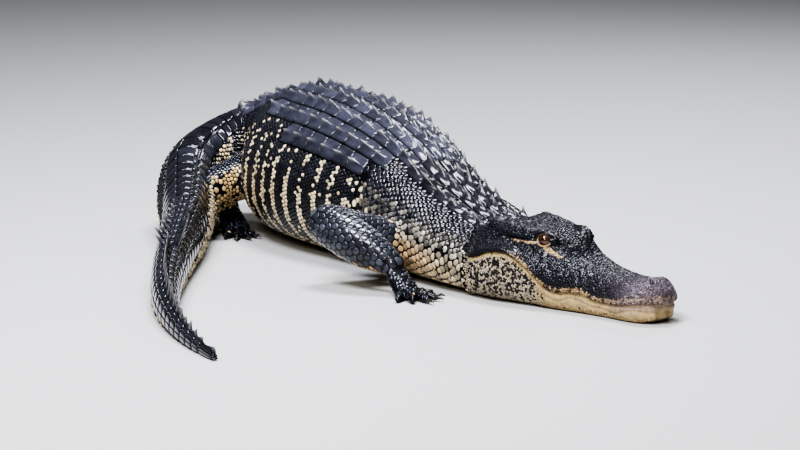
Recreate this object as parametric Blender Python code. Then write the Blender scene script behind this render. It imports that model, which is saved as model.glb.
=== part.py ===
"""American alligator at rest, life size: the solids, one closed body per named node.

The trunk runs along +X with the head at the +X end, +Z is up, and the belly, chin,
feet and tail lie on small flats at z = 0.  Lengths along the animal are measured as
"s", in metres along the spine from the tip of the snout.
"""
import math
import random

import bmesh
import bpy
import numpy as np
from mathutils import Vector

TOTAL_LENGTH = 2.60
HEAD_END = 0.385
ORIGIN_S = 0.90
SEAM = 0.0004
CLEARANCE = 0.0004
SEED = 7

# Heading of the spine in degrees from +X, against s: head turned a little to the
# animal's left, tail curled round to its right and laid forward on the floor.
HEADING = [(0, 12), (0.42, 12), (0.52, 7), (0.66, 0), (1.05, 0), (1.14, 13),
           (1.22, 44), (1.30, 91), (1.38, 134), (1.46, 153), (1.60, 154),
           (1.80, 150), (2.05, 152), (2.35, 164), (2.60, 178)]

# Body profile behind the head: half-width, top and underside against s.
HALF_WIDTH = [(0.385, 0.104), (0.45, 0.109), (0.55, 0.114), (0.65, 0.125),
              (0.78, 0.151), (0.92, 0.172), (1.04, 0.165), (1.14, 0.130),
              (1.24, 0.092), (1.35, 0.068), (1.50, 0.052), (1.70, 0.041),
              (2.00, 0.029), (2.30, 0.018), (2.60, 0.004)]
TOP = [(0.385, 0.121), (0.42, 0.127), (0.47, 0.145), (0.55, 0.178), (0.65, 0.221),
       (0.78, 0.257), (0.92, 0.275), (1.05, 0.276), (1.15, 0.256), (1.25, 0.222),
       (1.35, 0.182), (1.45, 0.152), (1.60, 0.124), (1.80, 0.102), (2.05, 0.078),
       (2.30, 0.050), (2.60, 0.010)]
BOTTOM = [(0.385, -0.003), (0.60, -0.002), (0.66, -0.004), (1.02, -0.004),
          (1.12, 0.026), (1.24, 0.046), (1.36, 0.016), (1.46, -0.003),
          (2.60, -0.001)]
WIDEST_LEVEL = 0.42
ROOF_POWER = 2.0
BELLY_POWER = 2.4

# Length of one row of scutes against s.
ROW_LENGTH = [(0.385, 0.033), (0.52, 0.037), (0.62, 0.041), (1.15, 0.042),
              (1.30, 0.039), (1.60, 0.037), (2.10, 0.034), (2.60, 0.027)]
SPLITS = {"neck": 0.53, "chest": 0.74, "torso": 1.02, "pelvis": 1.26,
          "tail_1": 1.52, "tail_2": 1.82, "tail_3": 2.18, "tail_4": 2.60}

# Scute columns of the trunk, degrees round from the middle of the back, and the
# height of their keels, column by column, up to each s.
SCUTE_EDGES = [0, 14, 28, 43, 58, 72]
KEEL_HEIGHTS = [(0.43, (0.010, 0.007, 0.004, 0.003, 0.002)),
                (0.56, (0.017, 0.012, 0.006, 0.003, 0.002)),
                (0.70, (0.012, 0.012, 0.010, 0.006, 0.003)),
                (1.50, (0.009, 0.010, 0.010, 0.009, 0.006))]
PLATE_RISE = 0.003
# Stations of a row: its groove, the front of its scutes and the peak of their keels.
ROW_STATIONS = (0.0, 0.16, 0.80)
FLANK_COLUMNS = [84, 98, 113, 131, 150, 167]
TAIL_COLUMNS = [0, 12, 24, 38, 60, 84, 108, 138, 164]
CREST_COLUMN = 24
CREST_HEIGHT = [(1.20, 0.005), (1.50, 0.005), (1.64, 0.012), (1.85, 0.024),
                (2.10, 0.030), (2.35, 0.025), (2.60, 0.008)]
TAIL_PLATE_RISE = 0.0018
SINGLE_CREST_FROM = 1.98
PLAIN_ROWS_FROM = 1.26

# Head profile against s: half-width at the lips, ridge beside the middle line, side.
HEAD_WIDTH = [(0, 0.012), (0.006, 0.024), (0.018, 0.038), (0.035, 0.048),
              (0.06, 0.052), (0.078, 0.049), (0.10, 0.052), (0.14, 0.060),
              (0.19, 0.069), (0.24, 0.081), (0.30, 0.094), (0.35, 0.103),
              (0.385, 0.104)]
RIDGE_OUT = [(0, 0.005), (0.01, 0.013), (0.03, 0.020), (0.06, 0.023), (0.12, 0.026),
             (0.18, 0.030), (0.22, 0.034), (0.25, 0.040), (0.28, 0.047),
             (0.32, 0.054), (0.36, 0.057), (0.385, 0.060)]
RIDGE_UP = [(0, 0.050), (0.010, 0.061), (0.03, 0.070), (0.05, 0.068), (0.08, 0.066),
            (0.12, 0.069), (0.17, 0.078), (0.20, 0.089), (0.225, 0.106),
            (0.25, 0.119), (0.28, 0.125), (0.31, 0.128), (0.345, 0.131),
            (0.362, 0.129), (0.385, 0.119)]
MIDDLE_DIP = [(0, 0), (0.03, 0.002), (0.06, -0.001), (0.12, -0.002), (0.18, 0.001),
              (0.25, 0.008), (0.29, 0.003), (0.36, 0.002), (0.385, -0.002)]
SIDE_OUT = [(0, 0.010), (0.01, 0.022), (0.03, 0.037), (0.06, 0.042), (0.10, 0.043),
            (0.15, 0.049), (0.20, 0.056), (0.25, 0.062), (0.30, 0.068),
            (0.385, 0.084)]
SIDE_UP = [(0, 0.046), (0.02, 0.057), (0.06, 0.058), (0.12, 0.060), (0.18, 0.067),
           (0.22, 0.080), (0.25, 0.092), (0.28, 0.099), (0.32, 0.103),
           (0.36, 0.104), (0.385, 0.101)]
LIP_UP = [(0, 0.041), (0.05, 0.043), (0.09, 0.039), (0.13, 0.044), (0.18, 0.047),
          (0.23, 0.059), (0.27, 0.079), (0.31, 0.094), (0.385, 0.078)]
MOUTH = [(0, 0.033), (0.03, 0.032), (0.06, 0.027), (0.09, 0.024), (0.12, 0.026),
         (0.15, 0.034), (0.17, 0.034), (0.195, 0.030), (0.215, 0.033),
         (0.235, 0.046), (0.26, 0.067), (0.285, 0.081), (0.305, 0.087),
         (0.335, 0.084), (0.362, 0.074), (0.385, 0.068)]
JAW_WIDTH = [(0, 0.010), (0.012, 0.026), (0.035, 0.041), (0.06, 0.046),
             (0.10, 0.047), (0.15, 0.056), (0.20, 0.067), (0.25, 0.081),
             (0.30, 0.098), (0.34, 0.107), (0.385, 0.105)]

CHIN = [(0, 0.018), (0.01, 0.008), (0.025, 0.001), (0.045, -0.004), (0.385, -0.004)]

HEAD_FRONT = [0.0015, 0.006, 0.013, 0.022, 0.034]
JAW_FRONT = [0.007, 0.013, 0.022, 0.034]
HEAD_SPANS = 20
EYE_S, EYE_OUT, EYE_UP = 0.252, 0.041, 0.1105
EYE_RADIUS = 0.0135
EYE_FACETS = (9, 16)
EYE_MOUND = (0.033, 0.0165, 0.0170)
MOUND_BACK = 0.006
LID_OPENING = (0.0130, 0.013, 0.0082)
NOSTRIL_S, NOSTRIL_OUT, NOSTRIL_UP = 0.024, 0.0115, 0.0725
NOSTRIL_SIZE = (0.0055, 0.0035, 0.006)
NOSTRIL_TURN = 30
EAR_S, EAR_OUT, EAR_UP = 0.302, 0.062, 0.112
EAR_SIZE = (0.026, 0.007, 0.0022)
EAR_TURN = 10

# Limbs: points shoulder or hip, elbow or knee, wrist or ankle, and the middle toe tip.
LIMBS = {
    "fore_right": [(0.340, -0.070, 0.058), (0.318, -0.222, 0.106),
                   (0.440, -0.163, 0.052), (0.560, -0.156, 0.004)],
    "fore_left": [(0.27, 0.075, 0.110), (0.150, 0.175, 0.070),
                  (0.255, 0.210, 0.040), (0.360, 0.203, 0.004)],
    "hind_right": [(-0.220, -0.055, 0.125), (-0.196, -0.200, 0.094),
                   (-0.238, -0.146, 0.034), (-0.130, -0.172, 0.004)],
    "hind_left": [(-0.225, 0.055, 0.125), (-0.150, 0.205, 0.105),
                  (-0.235, 0.220, 0.040), (-0.110, 0.262, 0.004)],
}
FORE_RADII = [(0.038, 0.036), (0.037, 0.040, 0.036, 0.023)]
HIND_RADII = [(0.052, 0.036), (0.033, 0.031, 0.025, 0.019)]
FORE_DIGITS = [-48, -24, -2, 20, 46]
HIND_DIGITS = [-30, -10, 10, 32]
FORE_PALM, HIND_PALM = 0.024, 0.028
DIGIT_RADIUS = 0.0078
DIGIT_SIDES = 6
CLAW_LENGTH = 0.017
CLAW_RADIUS = 0.0036

SKIN_DARK = (0.045, 0.047, 0.05, 1)
SKIN_PALE = (0.55, 0.45, 0.28, 1)
EYE_BROWN = (0.12, 0.05, 0.02, 1)
CLAW_HORN = (0.03, 0.025, 0.02, 1)


def curve(pairs):
    """Smooth curve through pairs that never overshoots between two of them."""
    xs = [p[0] for p in pairs]
    ys = [p[1] for p in pairs]
    steps = [b - a for a, b in zip(xs, xs[1:])]
    rises = [(b - a) / h for a, b, h in zip(ys, ys[1:], steps)]
    slopes = [rises[0]] + [0.0] * (len(xs) - 2) + [rises[-1]]
    for i in range(1, len(xs) - 1):
        if rises[i - 1] * rises[i] > 0:
            w1 = 2 * steps[i] + steps[i - 1]
            w2 = steps[i] + 2 * steps[i - 1]
            slopes[i] = (w1 + w2) / (w1 / rises[i - 1] + w2 / rises[i])

    def value(x):
        x = min(max(x, xs[0]), xs[-1])
        i = 0
        while i < len(steps) - 1 and x > xs[i + 1]:
            i += 1
        t = (x - xs[i]) / steps[i]
        return (ys[i] * (1 + 2 * t) * (1 - t) ** 2
                + slopes[i] * steps[i] * t * (1 - t) ** 2
                + ys[i + 1] * t * t * (3 - 2 * t)
                + slopes[i + 1] * steps[i] * t * t * (t - 1))
    return value


heading = curve(HEADING)
half_width = curve(HALF_WIDTH)
top = curve(TOP)
bottom = curve(BOTTOM)
row_length = curve(ROW_LENGTH)
head_width = curve(HEAD_WIDTH)
ridge_out = curve(RIDGE_OUT)
ridge_up = curve(RIDGE_UP)
middle_dip = curve(MIDDLE_DIP)
side_out = curve(SIDE_OUT)
side_up = curve(SIDE_UP)
lip_up = curve(LIP_UP)
mouth = curve(MOUTH)
jaw_width = curve(JAW_WIDTH)
chin = curve(CHIN)
crest_height = curve(CREST_HEIGHT)


def spine_table():
    """Plan positions of the spine every millimetre, origin under ORIGIN_S."""
    s = np.arange(0, TOTAL_LENGTH + 0.0005, 0.001)
    angle = np.radians([heading(v) for v in s])
    mean_cos = (np.cos(angle)[1:] + np.cos(angle)[:-1]) / 2
    mean_sin = (np.sin(angle)[1:] + np.sin(angle)[:-1]) / 2
    x = -np.concatenate([[0], np.cumsum(mean_cos * np.diff(s))])
    y = -np.concatenate([[0], np.cumsum(mean_sin * np.diff(s))])
    return s, x - np.interp(ORIGIN_S, s, x), y - np.interp(ORIGIN_S, s, y)


SPINE_S, SPINE_X, SPINE_Y = spine_table()


def place(s, out, up):
    """World point at s along the spine, out to the animal's left, up from the floor."""
    angle = math.radians(heading(s))
    x = float(np.interp(s, SPINE_S, SPINE_X)) - math.sin(angle) * out
    y = float(np.interp(s, SPINE_S, SPINE_Y)) + math.cos(angle) * out
    return Vector((x, y, max(up, 0.0)))


def power(value, exponent):
    return math.copysign(abs(value) ** exponent, value)


def body_point(s, degrees, lift):
    """Point of the body's surface, degrees round from the back's middle line."""
    angle = math.radians(degrees)
    side, rise = math.sin(angle), math.cos(angle)
    low, high, wide = bottom(s), top(s), half_width(s)
    level = low + (high - low) * WIDEST_LEVEL
    exponent = 2 / (ROOF_POWER if rise > 0 else BELLY_POWER)
    tall = high - level if rise > 0 else level - low
    out = wide * power(side, exponent)
    up = tall * power(rise, exponent)
    normal = Vector((out / wide ** 2, up / tall ** 2))
    normal.normalize()
    return place(s, out + normal.x * lift, level + up + normal.y * lift)


def rows():
    """Borders of the rows of scutes from the neck to the tip of the tail."""
    borders = [HEAD_END]
    while borders[-1] < TOTAL_LENGTH - 0.03:
        borders.append(borders[-1] + row_length(borders[-1]))
    borders[-1] = TOTAL_LENGTH
    return borders


ROWS = rows()
randomness = random.Random(SEED)
ROW_VARIATION = [[randomness.uniform(0.8, 1.2) for _ in range(24)] for _ in ROWS]


def keel_height(s, column):
    """Height of the keel of a scute in a column counted from the back's middle."""
    for end, heights in KEEL_HEIGHTS:
        if s < end:
            return heights[column]


def make_object(name, vertices, faces, colour):
    mesh = bpy.data.meshes.new(name)
    mesh.from_pydata([tuple(v) for v in vertices], [], faces)
    body = bpy.data.objects.new(name, mesh)
    bpy.context.collection.objects.link(body)
    clean(body)
    if colour:
        material = bpy.data.materials.new("mat_" + name)
        material.use_nodes = True
        shader = material.node_tree.nodes["Principled BSDF"]
        shader.inputs["Base Color"].default_value = colour
        shader.inputs["Roughness"].default_value = 0.4
        material.diffuse_color = colour
        body.data.materials.append(material)
    return body


def clean(body):
    """Weld, turn every face out and keep only the largest closed surface."""
    shape = bmesh.new()
    shape.from_mesh(body.data)
    bmesh.ops.remove_doubles(shape, verts=shape.verts, dist=2e-5)
    bmesh.ops.dissolve_degenerate(shape, edges=shape.edges, dist=2e-5)
    bmesh.ops.triangulate(shape, faces=shape.faces)
    left = set(shape.verts)
    groups = []
    while left:
        group = {left.pop()}
        edge = set(group)
        while edge:
            near = {e.other_vert(v) for v in edge for e in v.link_edges}
            edge = (near & left)
            left -= edge
            group |= edge
        groups.append(group)
    groups.sort(key=len)
    for group in groups[:-1]:
        bmesh.ops.delete(shape, geom=list(group), context="VERTS")
    bmesh.ops.recalc_face_normals(shape, faces=shape.faces)
    if shape.calc_volume(signed=True) < 0:
        bmesh.ops.reverse_faces(shape, faces=shape.faces)
    shape.to_mesh(body.data)
    shape.free()


def combine(body, tool, operation):
    """Boolean of two objects; the tool is thrown away afterwards."""
    modifier = body.modifiers.new("cut", "BOOLEAN")
    modifier.operation = operation
    modifier.object = tool
    modifier.solver = "EXACT"
    bpy.context.view_layer.update()
    graph = bpy.context.evaluated_depsgraph_get()
    result = bpy.data.meshes.new_from_object(body.evaluated_get(graph))
    body.modifiers.remove(modifier)
    body.data = result
    bpy.data.objects.remove(tool)
    clean(body)


def ring_faces(rings):
    """Faces of a closed skin over equal rings, with flat ends."""
    count = len(rings[0])
    faces = []
    for i in range(len(rings) - 1):
        for j in range(count):
            k = (j + 1) % count
            a, b = i * count, (i + 1) * count
            faces.append((a + j, a + k, b + k, b + j))
    faces.append(tuple(range(count)))
    faces.append(tuple(range((len(rings) - 1) * count, len(rings) * count)))
    return faces


def skin(name, rings, colour=None):
    return make_object(name, [v for ring in rings for v in ring],
                       ring_faces(rings), colour)


def trunk_lift(row, part, degrees):
    """Relief of the trunk: plates with a keel on the back, a smooth flank below."""
    around = abs(degrees)
    if part == 0 or around >= SCUTE_EDGES[-1]:
        return 0.0
    column = sum(around >= edge for edge in SCUTE_EDGES) - 1
    low, high = SCUTE_EDGES[column], SCUTE_EDGES[column + 1]
    across = (around - low) / (high - low)
    if across < 0.05:
        return 0.0
    if 0.3 < across < 0.7:
        vary = ROW_VARIATION[row][column + (6 if degrees > 0 else 0)]
        tall = keel_height(ROWS[row], column) * vary
        return tall * (0.45 if part == 1 else 1.0)
    return PLATE_RISE


def tail_lift(row, part, degrees):
    """Relief of the tail: crest blades above, smooth square plates down the sides."""
    start = ROWS[row]
    around = abs(degrees)
    if part == 0:
        return 0.0
    crest = crest_height(start) * ROW_VARIATION[row][1]
    slope = 0.5 if part == 1 else 1.0
    if start < SINGLE_CREST_FROM and around == CREST_COLUMN:
        return crest * slope
    if start >= SINGLE_CREST_FROM and around == 0:
        return crest * slope
    return TAIL_PLATE_RISE if CREST_COLUMN < around < 130 else 0.0


def trunk_columns():
    """Degrees of the trunk's columns: border, shoulder, keel and shoulder of each."""
    right = []
    for low, high in zip(SCUTE_EDGES[:-2], SCUTE_EDGES[1:-1]):
        right += [low, low + 0.2 * (high - low), (low + high) / 2,
                  low + 0.8 * (high - low)]
    low, high = SCUTE_EDGES[-2:]
    right += [low, (low + high) / 2, high] + FLANK_COLUMNS
    return mirrored(right)


def mirrored(right):
    return right + [-d for d in reversed(right) if d]


def body_rings(first, last, columns, lift, grow, seam):
    """Rings between two rows: groove, front and keel peak of every row."""
    rings = []
    for row in range(first, last):
        start, end = ROWS[row], ROWS[row + 1]
        for part in (0, 1, 2) if start < PLAIN_ROWS_FROM else (0, 2):
            s = start + ROW_STATIONS[part] * (end - start)
            if part == 0 and row == first:
                s += seam
            rings.append([body_point(s, d, lift(row, part, d) + grow)
                          for d in columns])
    rings.append([body_point(ROWS[last], d, grow) for d in columns])
    return rings


def row_at(s):
    return min(range(len(ROWS)), key=lambda i: abs(ROWS[i] - s))


def make_trunk_and_tail():
    first = 0
    for name, end in SPLITS.items():
        last = row_at(end)
        tail = name.startswith("tail")
        columns = mirrored(TAIL_COLUMNS) if tail else trunk_columns()
        lift = tail_lift if tail else trunk_lift
        skin(name, body_rings(first, last, columns, lift, 0, SEAM), SKIN_DARK)
        first = last


def cut_clear_of_body(limb):
    """Cut a limb by the trunk and the root of the tail, both a clearance larger."""
    root = row_at(SPLITS["pelvis"])
    trunk = body_rings(0, root, trunk_columns(), trunk_lift, CLEARANCE, 0)
    tail = body_rings(root, row_at(SPLITS["tail_1"]), mirrored(TAIL_COLUMNS),
                      tail_lift, CLEARANCE, 0)
    for rings in (trunk, tail):
        combine(limb, skin("body_tool", rings), "DIFFERENCE")


def smooth_row(points, count):
    """Points along a smooth line through the given points, count to each span."""
    row = []
    last = len(points) - 1
    for i in range(last):
        p0 = Vector(points[max(i - 1, 0)])
        p1, p2 = Vector(points[i]), Vector(points[i + 1])
        p3 = Vector(points[min(i + 2, last)])
        for k in range(count):
            t = k / count
            row.append(0.5 * (2 * p1 + (p2 - p0) * t
                              + (2 * p0 - 5 * p1 + 4 * p2 - p3) * t * t
                              + (3 * p1 - p0 - 3 * p2 + p3) * t ** 3))
    row.append(Vector(points[-1]))
    return row


def head_ring(s):
    """Upper head: arc from lip to lip over the top, closed across the mouth."""
    up = ridge_up(s)
    half = [(0, up - middle_dip(s)), (ridge_out(s), up), (side_out(s), side_up(s)),
            (head_width(s), lip_up(s)), (head_width(s) - 0.003, mouth(s))]
    arc = smooth_row(half, 3)
    left = [place(s, p.x, p.y) for p in reversed(arc)]
    right = [place(s, -p.x, p.y) for p in arc[1:]]
    floor = head_width(s) * 0.5
    return left + right + [place(s, -floor, mouth(s)), place(s, floor, mouth(s))]


def jaw_ring(s):
    """Lower jaw: flat along the mouth, rounded underneath, resting on the floor."""
    roof = mouth(s) - CLEARANCE
    wide = jaw_width(s)
    lip = min(head_width(s) - 0.004, wide)
    under = chin(s)
    half = [(lip, roof), (wide, roof * 0.55), (wide * 0.86, roof * 0.16 + under * 0.5),
            (wide * 0.5, under + 0.002), (0, under)]
    arc = smooth_row(half, 2)
    left = [place(s, p.x, p.y) for p in arc]
    right = [place(s, -p.x, p.y) for p in reversed(arc[:-1])]
    shelf = wide * 0.5
    return left + right + [place(s, -shelf, roof), place(s, shelf, roof)]


def ball(centre, sizes, degrees=0, rings=8, sides=12):
    """Ellipsoid turned about the vertical; used for eyes, mounds and cutters."""
    turn = math.radians(degrees)
    layers = []
    for i in range(1, rings):
        slope = math.pi * i / rings
        layer = []
        for j in range(sides):
            angle = 2 * math.pi * j / sides
            x = sizes[0] * math.sin(slope) * math.cos(angle)
            y = sizes[1] * math.sin(slope) * math.sin(angle)
            z = sizes[2] * math.cos(slope)
            layer.append(Vector((centre[0] + x * math.cos(turn) - y * math.sin(turn),
                                 centre[1] + x * math.sin(turn) + y * math.cos(turn),
                                 centre[2] + z)))
        layers.append(layer)
    return layers


def make_head():
    """Upper head and lower jaw, with lids, eyes, nostrils and ear slits."""
    step = (HEAD_END - HEAD_FRONT[-1]) / HEAD_SPANS
    stations = HEAD_FRONT[:-1] + [HEAD_FRONT[-1] + step * i
                                  for i in range(HEAD_SPANS + 1)]
    head = skin("head", [head_ring(s) for s in stations], SKIN_DARK)
    jaw_stations = JAW_FRONT + stations[len(HEAD_FRONT):]
    skin("lower_jaw", [jaw_ring(s) for s in jaw_stations], SKIN_PALE)
    turn = heading(0)
    for side, word in ((1, "left"), (-1, "right")):
        eye = place(EYE_S, side * EYE_OUT, EYE_UP)
        mound = place(EYE_S + MOUND_BACK, side * EYE_OUT, EYE_UP)
        combine(head, skin("mound", ball(mound, EYE_MOUND, turn)), "UNION")
        opening = place(EYE_S - 0.003, side * (EYE_OUT + 0.015), EYE_UP + 0.001)
        combine(head, skin("opening", ball(opening, LID_OPENING, turn)), "DIFFERENCE")
        socket = ball(eye, [EYE_RADIUS + CLEARANCE] * 3, turn, *EYE_FACETS)
        combine(head, skin("socket", socket), "DIFFERENCE")
        skin("eye_" + word, ball(eye, [EYE_RADIUS] * 3, turn, *EYE_FACETS), EYE_BROWN)
        nostril = place(NOSTRIL_S, side * NOSTRIL_OUT, NOSTRIL_UP)
        cut = ball(nostril, NOSTRIL_SIZE, turn + side * NOSTRIL_TURN, 6, 10)
        combine(head, skin("nostril", cut), "DIFFERENCE")
        ear = place(EAR_S, side * EAR_OUT, EAR_UP)
        cut = ball(ear, EAR_SIZE, turn - side * EAR_TURN, 6, 12)
        combine(head, skin("ear", cut), "DIFFERENCE")


def tube(points, radii, sides=10, flat=1.0, round_ends=True, grow=0.0):
    """Rings round a path; flat squashes them in height, ends may be rounded off."""
    path = [Vector(p) for p in points]
    rings = []
    count = len(path)
    for i, centre in enumerate(path):
        along = (path[min(i + 1, count - 1)] - path[max(i - 1, 0)]).normalized()
        across = along.cross(Vector((0, 0, 1))).normalized()
        upward = across.cross(along)
        rings.append((centre, along, across, upward, radii[i] + grow))
    if round_ends:
        for index, sign in ((0, -1), (-1, 1)):
            centre, along, across, upward, radius = rings[index]
            extra = [(centre + sign * along * radius * depth, along, across, upward,
                      radius * width)
                     for depth, width in ((0.55, 0.84), (0.88, 0.48))]
            rings = (extra[::-1] + rings) if sign < 0 else (rings + extra)
    layers = []
    for centre, along, across, upward, radius in rings:
        layer = []
        for j in range(sides):
            angle = 2 * math.pi * j / sides
            point = (centre + across * radius * math.cos(angle)
                     + upward * radius * flat * math.sin(angle))
            layer.append(Vector((point.x, point.y, max(point.z, 0.0))))
        layers.append(layer)
    return layers


def segment(start, end, radii, grow=0.0):
    """Rounded limb segment between two joints through equally spaced radii."""
    start, end = Vector(start), Vector(end)
    steps = len(radii) - 1
    points = [start.lerp(end, i / steps) for i in range(steps + 1)]
    return tube(points, radii, sides=12, grow=grow)


def make_limb(key, points):
    fore = key.startswith("fore")
    side = key.split("_")[1]
    names = ("upper_arm", "forearm", "hand") if fore else ("thigh", "shank", "foot")
    upper_radii, lower_radii = FORE_RADII if fore else HIND_RADII
    shoulder, elbow, wrist, tip = [Vector(p) for p in points]
    lower_end = wrist.lerp(elbow, 0.08)
    upper = skin(names[0] + "_" + side, segment(shoulder, elbow, upper_radii),
                 SKIN_DARK)
    lower = skin(names[1] + "_" + side, segment(elbow, lower_end, lower_radii),
                 SKIN_DARK)
    combine(upper, skin("tool", segment(elbow, lower_end, lower_radii, CLEARANCE)),
            "DIFFERENCE")
    cut_clear_of_body(upper)
    cut_clear_of_body(lower)
    make_foot(names[2], side, fore, wrist, tip, lower_end, elbow, lower_radii)


def make_foot(name, side, fore, wrist, tip, lower_end, elbow, lower_radii):
    """Palm and digits fused into one body; three digits end in separate claws."""
    along = Vector((tip.x - wrist.x, tip.y - wrist.y, 0))
    reach = along.length
    along.normalize()
    palm_radius = FORE_PALM if fore else HIND_PALM
    knuckle = Vector((wrist.x, wrist.y, 0)) + along * reach * 0.40
    knuckle.z = 0.012
    middle = wrist.lerp(knuckle, 0.5)
    middle.z = (wrist.z + knuckle.z) * 0.45
    palm = tube([wrist, middle, knuckle], [palm_radius * 0.72, palm_radius * 0.9,
                                           palm_radius], sides=12, flat=0.55)
    hand = skin(name + "_" + side, palm, SKIN_DARK)
    inward = 1 if side == "right" else -1
    digits = FORE_DIGITS if fore else HIND_DIGITS
    longest = reach * 0.60
    for number, degrees in enumerate(digits):
        angle = math.atan2(along.y, along.x) - inward * math.radians(degrees)
        way = Vector((math.cos(angle), math.sin(angle), 0))
        length = longest * (1.0 - 0.0055 * abs(degrees))
        clawed = number < 3
        root = knuckle - along * 0.004
        bend = root + way * length * 0.55
        bend.z = 0.0105
        end = root + way * length
        end.z = 0.0052
        radii = [DIGIT_RADIUS * 1.15, DIGIT_RADIUS, CLAW_RADIUS * 1.35,
                 CLAW_RADIUS * 1.25]
        finger = tube([root, bend, end - way * 0.003, end], radii,
                      sides=DIGIT_SIDES, round_ends=False)
        combine(hand, skin("finger", finger), "UNION")
        if clawed:
            make_claw(f"claw_{name}_{side}_{number + 1}", end, way)
    combine(hand, skin("tool", segment(elbow, lower_end, lower_radii, CLEARANCE)),
            "DIFFERENCE")
    if not fore:
        cut_clear_of_body(hand)


def make_claw(name, root, way):
    start = root + way * CLEARANCE
    neck = start + way * 0.002
    middle = start + way * CLAW_LENGTH * 0.5 + Vector((0, 0, 0.0012))
    end = start + way * CLAW_LENGTH
    end.z = 0.0012
    radii = [CLAW_RADIUS, CLAW_RADIUS, CLAW_RADIUS * 0.75, 0.0006]
    skin(name, tube([start, neck, middle, end], radii, sides=DIGIT_SIDES,
                    round_ends=False), CLAW_HORN)


def main():
    for old in list(bpy.data.objects):
        bpy.data.objects.remove(old)
    make_trunk_and_tail()
    make_head()
    for key, points in LIMBS.items():
        make_limb(key, points)


main()
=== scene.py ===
# %% [markdown]
# # American alligator at rest
# A still, life-size animal lies on its belly with its head turned a little to its
# left and its tail curled round to its right.  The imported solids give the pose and
# the proportions.  This notebook gives them one seamless hide, and then covers the
# hide with scutes and scales that are real mesh, because it is their relief and
# their wet gloss that make the animal look alive.

import math

import bpy
import numpy as np
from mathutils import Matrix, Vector, noise
from mathutils.bvhtree import BVHTree
from mathutils.kdtree import KDTree


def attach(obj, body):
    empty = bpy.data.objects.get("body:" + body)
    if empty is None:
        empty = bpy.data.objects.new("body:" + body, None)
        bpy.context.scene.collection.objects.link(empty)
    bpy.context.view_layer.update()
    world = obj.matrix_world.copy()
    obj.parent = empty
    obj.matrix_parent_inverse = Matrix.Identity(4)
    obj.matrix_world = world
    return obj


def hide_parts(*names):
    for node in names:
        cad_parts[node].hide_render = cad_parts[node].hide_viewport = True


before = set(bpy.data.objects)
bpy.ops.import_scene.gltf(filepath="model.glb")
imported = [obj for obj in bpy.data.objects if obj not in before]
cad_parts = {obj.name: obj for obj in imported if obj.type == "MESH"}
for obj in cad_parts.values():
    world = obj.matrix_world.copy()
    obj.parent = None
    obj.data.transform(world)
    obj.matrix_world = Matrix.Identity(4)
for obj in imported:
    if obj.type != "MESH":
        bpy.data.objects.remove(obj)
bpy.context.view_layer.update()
bpy.ops.object.select_all(action="DESELECT")
chance = np.random.default_rng(11)

# %% [markdown]
# ## Camera
# The animal is seen from its right front, a little above the floor, through a long
# lens.  The camera aims at a point beside the neck, so that the snout and the tail
# fall where they do in the picture.

# %% Place the camera
CAMERA_AROUND, CAMERA_ABOVE = math.radians(62), math.radians(10)
CAMERA_AWAY = 6.0
PIXELS_PER_METRE = 610
PICTURE_WIDTH = 800
SENSOR_WIDTH = 36
AIM = Vector((0.6646, -0.2666, 0.1622))
toward_camera = Vector((math.sin(CAMERA_AROUND) * math.cos(CAMERA_ABOVE),
                        -math.cos(CAMERA_AROUND) * math.cos(CAMERA_ABOVE),
                        math.sin(CAMERA_ABOVE)))
bpy.ops.object.camera_add(location=AIM + toward_camera * CAMERA_AWAY)
camera = bpy.context.object
camera.rotation_euler = toward_camera.to_track_quat("Z", "Y").to_euler()
camera.data.sensor_width = SENSOR_WIDTH
camera.data.lens = PIXELS_PER_METRE * CAMERA_AWAY * SENSOR_WIDTH / PICTURE_WIDTH
camera.data.clip_end = 60
bpy.context.scene.camera = camera
print("lens:", round(camera.data.lens, 1), "mm")

# %% [markdown]
# ## Floor and light
# A plain pale floor runs far out behind the animal.  Black wet hide only reads by what
# it mirrors, so the lights are four broad soft panels.  The strongest is a cool sky
# panel high in front, which lays a sheen on the scutes.  One straight overhead lights
# the back and the tail, a warm one stands beside the camera, and a weak one behind
# draws the outline.  The look with more contrast keeps the wet blacks deep.

# %% Make and join shader nodes
def new_look(name):
    """New material and its shader."""
    made = bpy.data.materials.new(name)
    made.use_nodes = True
    return made, made.node_tree.nodes["Principled BSDF"]


def fill_in(node, **values):
    """Set inputs of a node, their names written with an underscore for each space."""
    for name, value in values.items():
        node.inputs[name.replace("_", " ")].default_value = value


def add_node(tree, kind, source=None, target=0, **values):
    """New node with its target input fed by the source, and values for the others."""
    made = tree.nodes.new("ShaderNode" + kind)
    fill_in(made, **values)
    if source is not None:
        tree.links.new(source, made.inputs[target])
    return made


def add_math(tree, operation, source):
    """New node that does an operation on the vector of the source."""
    made = add_node(tree, "VectorMath", source)
    made.operation = operation
    return made


# %% Make the floor
bpy.ops.mesh.primitive_grid_add(x_subdivisions=8, y_subdivisions=8, size=24)
floor = bpy.context.object
floor.name = "floor"
floor_look, floor_shader = new_look("pale_floor")
fill_in(floor_shader, Base_Color=(0.40, 0.40, 0.385, 1), Roughness=0.75)
floor.data.materials.append(floor_look)


# %% Hang the lights
def soft_panel(name, place, aim, size, watts, colour):
    """Hang a soft rectangular light that faces its aim."""
    bpy.ops.object.light_add(type="AREA", location=place)
    panel = bpy.context.object
    panel.name = name
    way = Vector(place) - Vector(aim)
    panel.rotation_euler = way.to_track_quat("Z", "Y").to_euler()
    panel.data.shape = "RECTANGLE"
    panel.data.size, panel.data.size_y = size
    panel.data.energy = watts
    panel.data.color = colour


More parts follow.
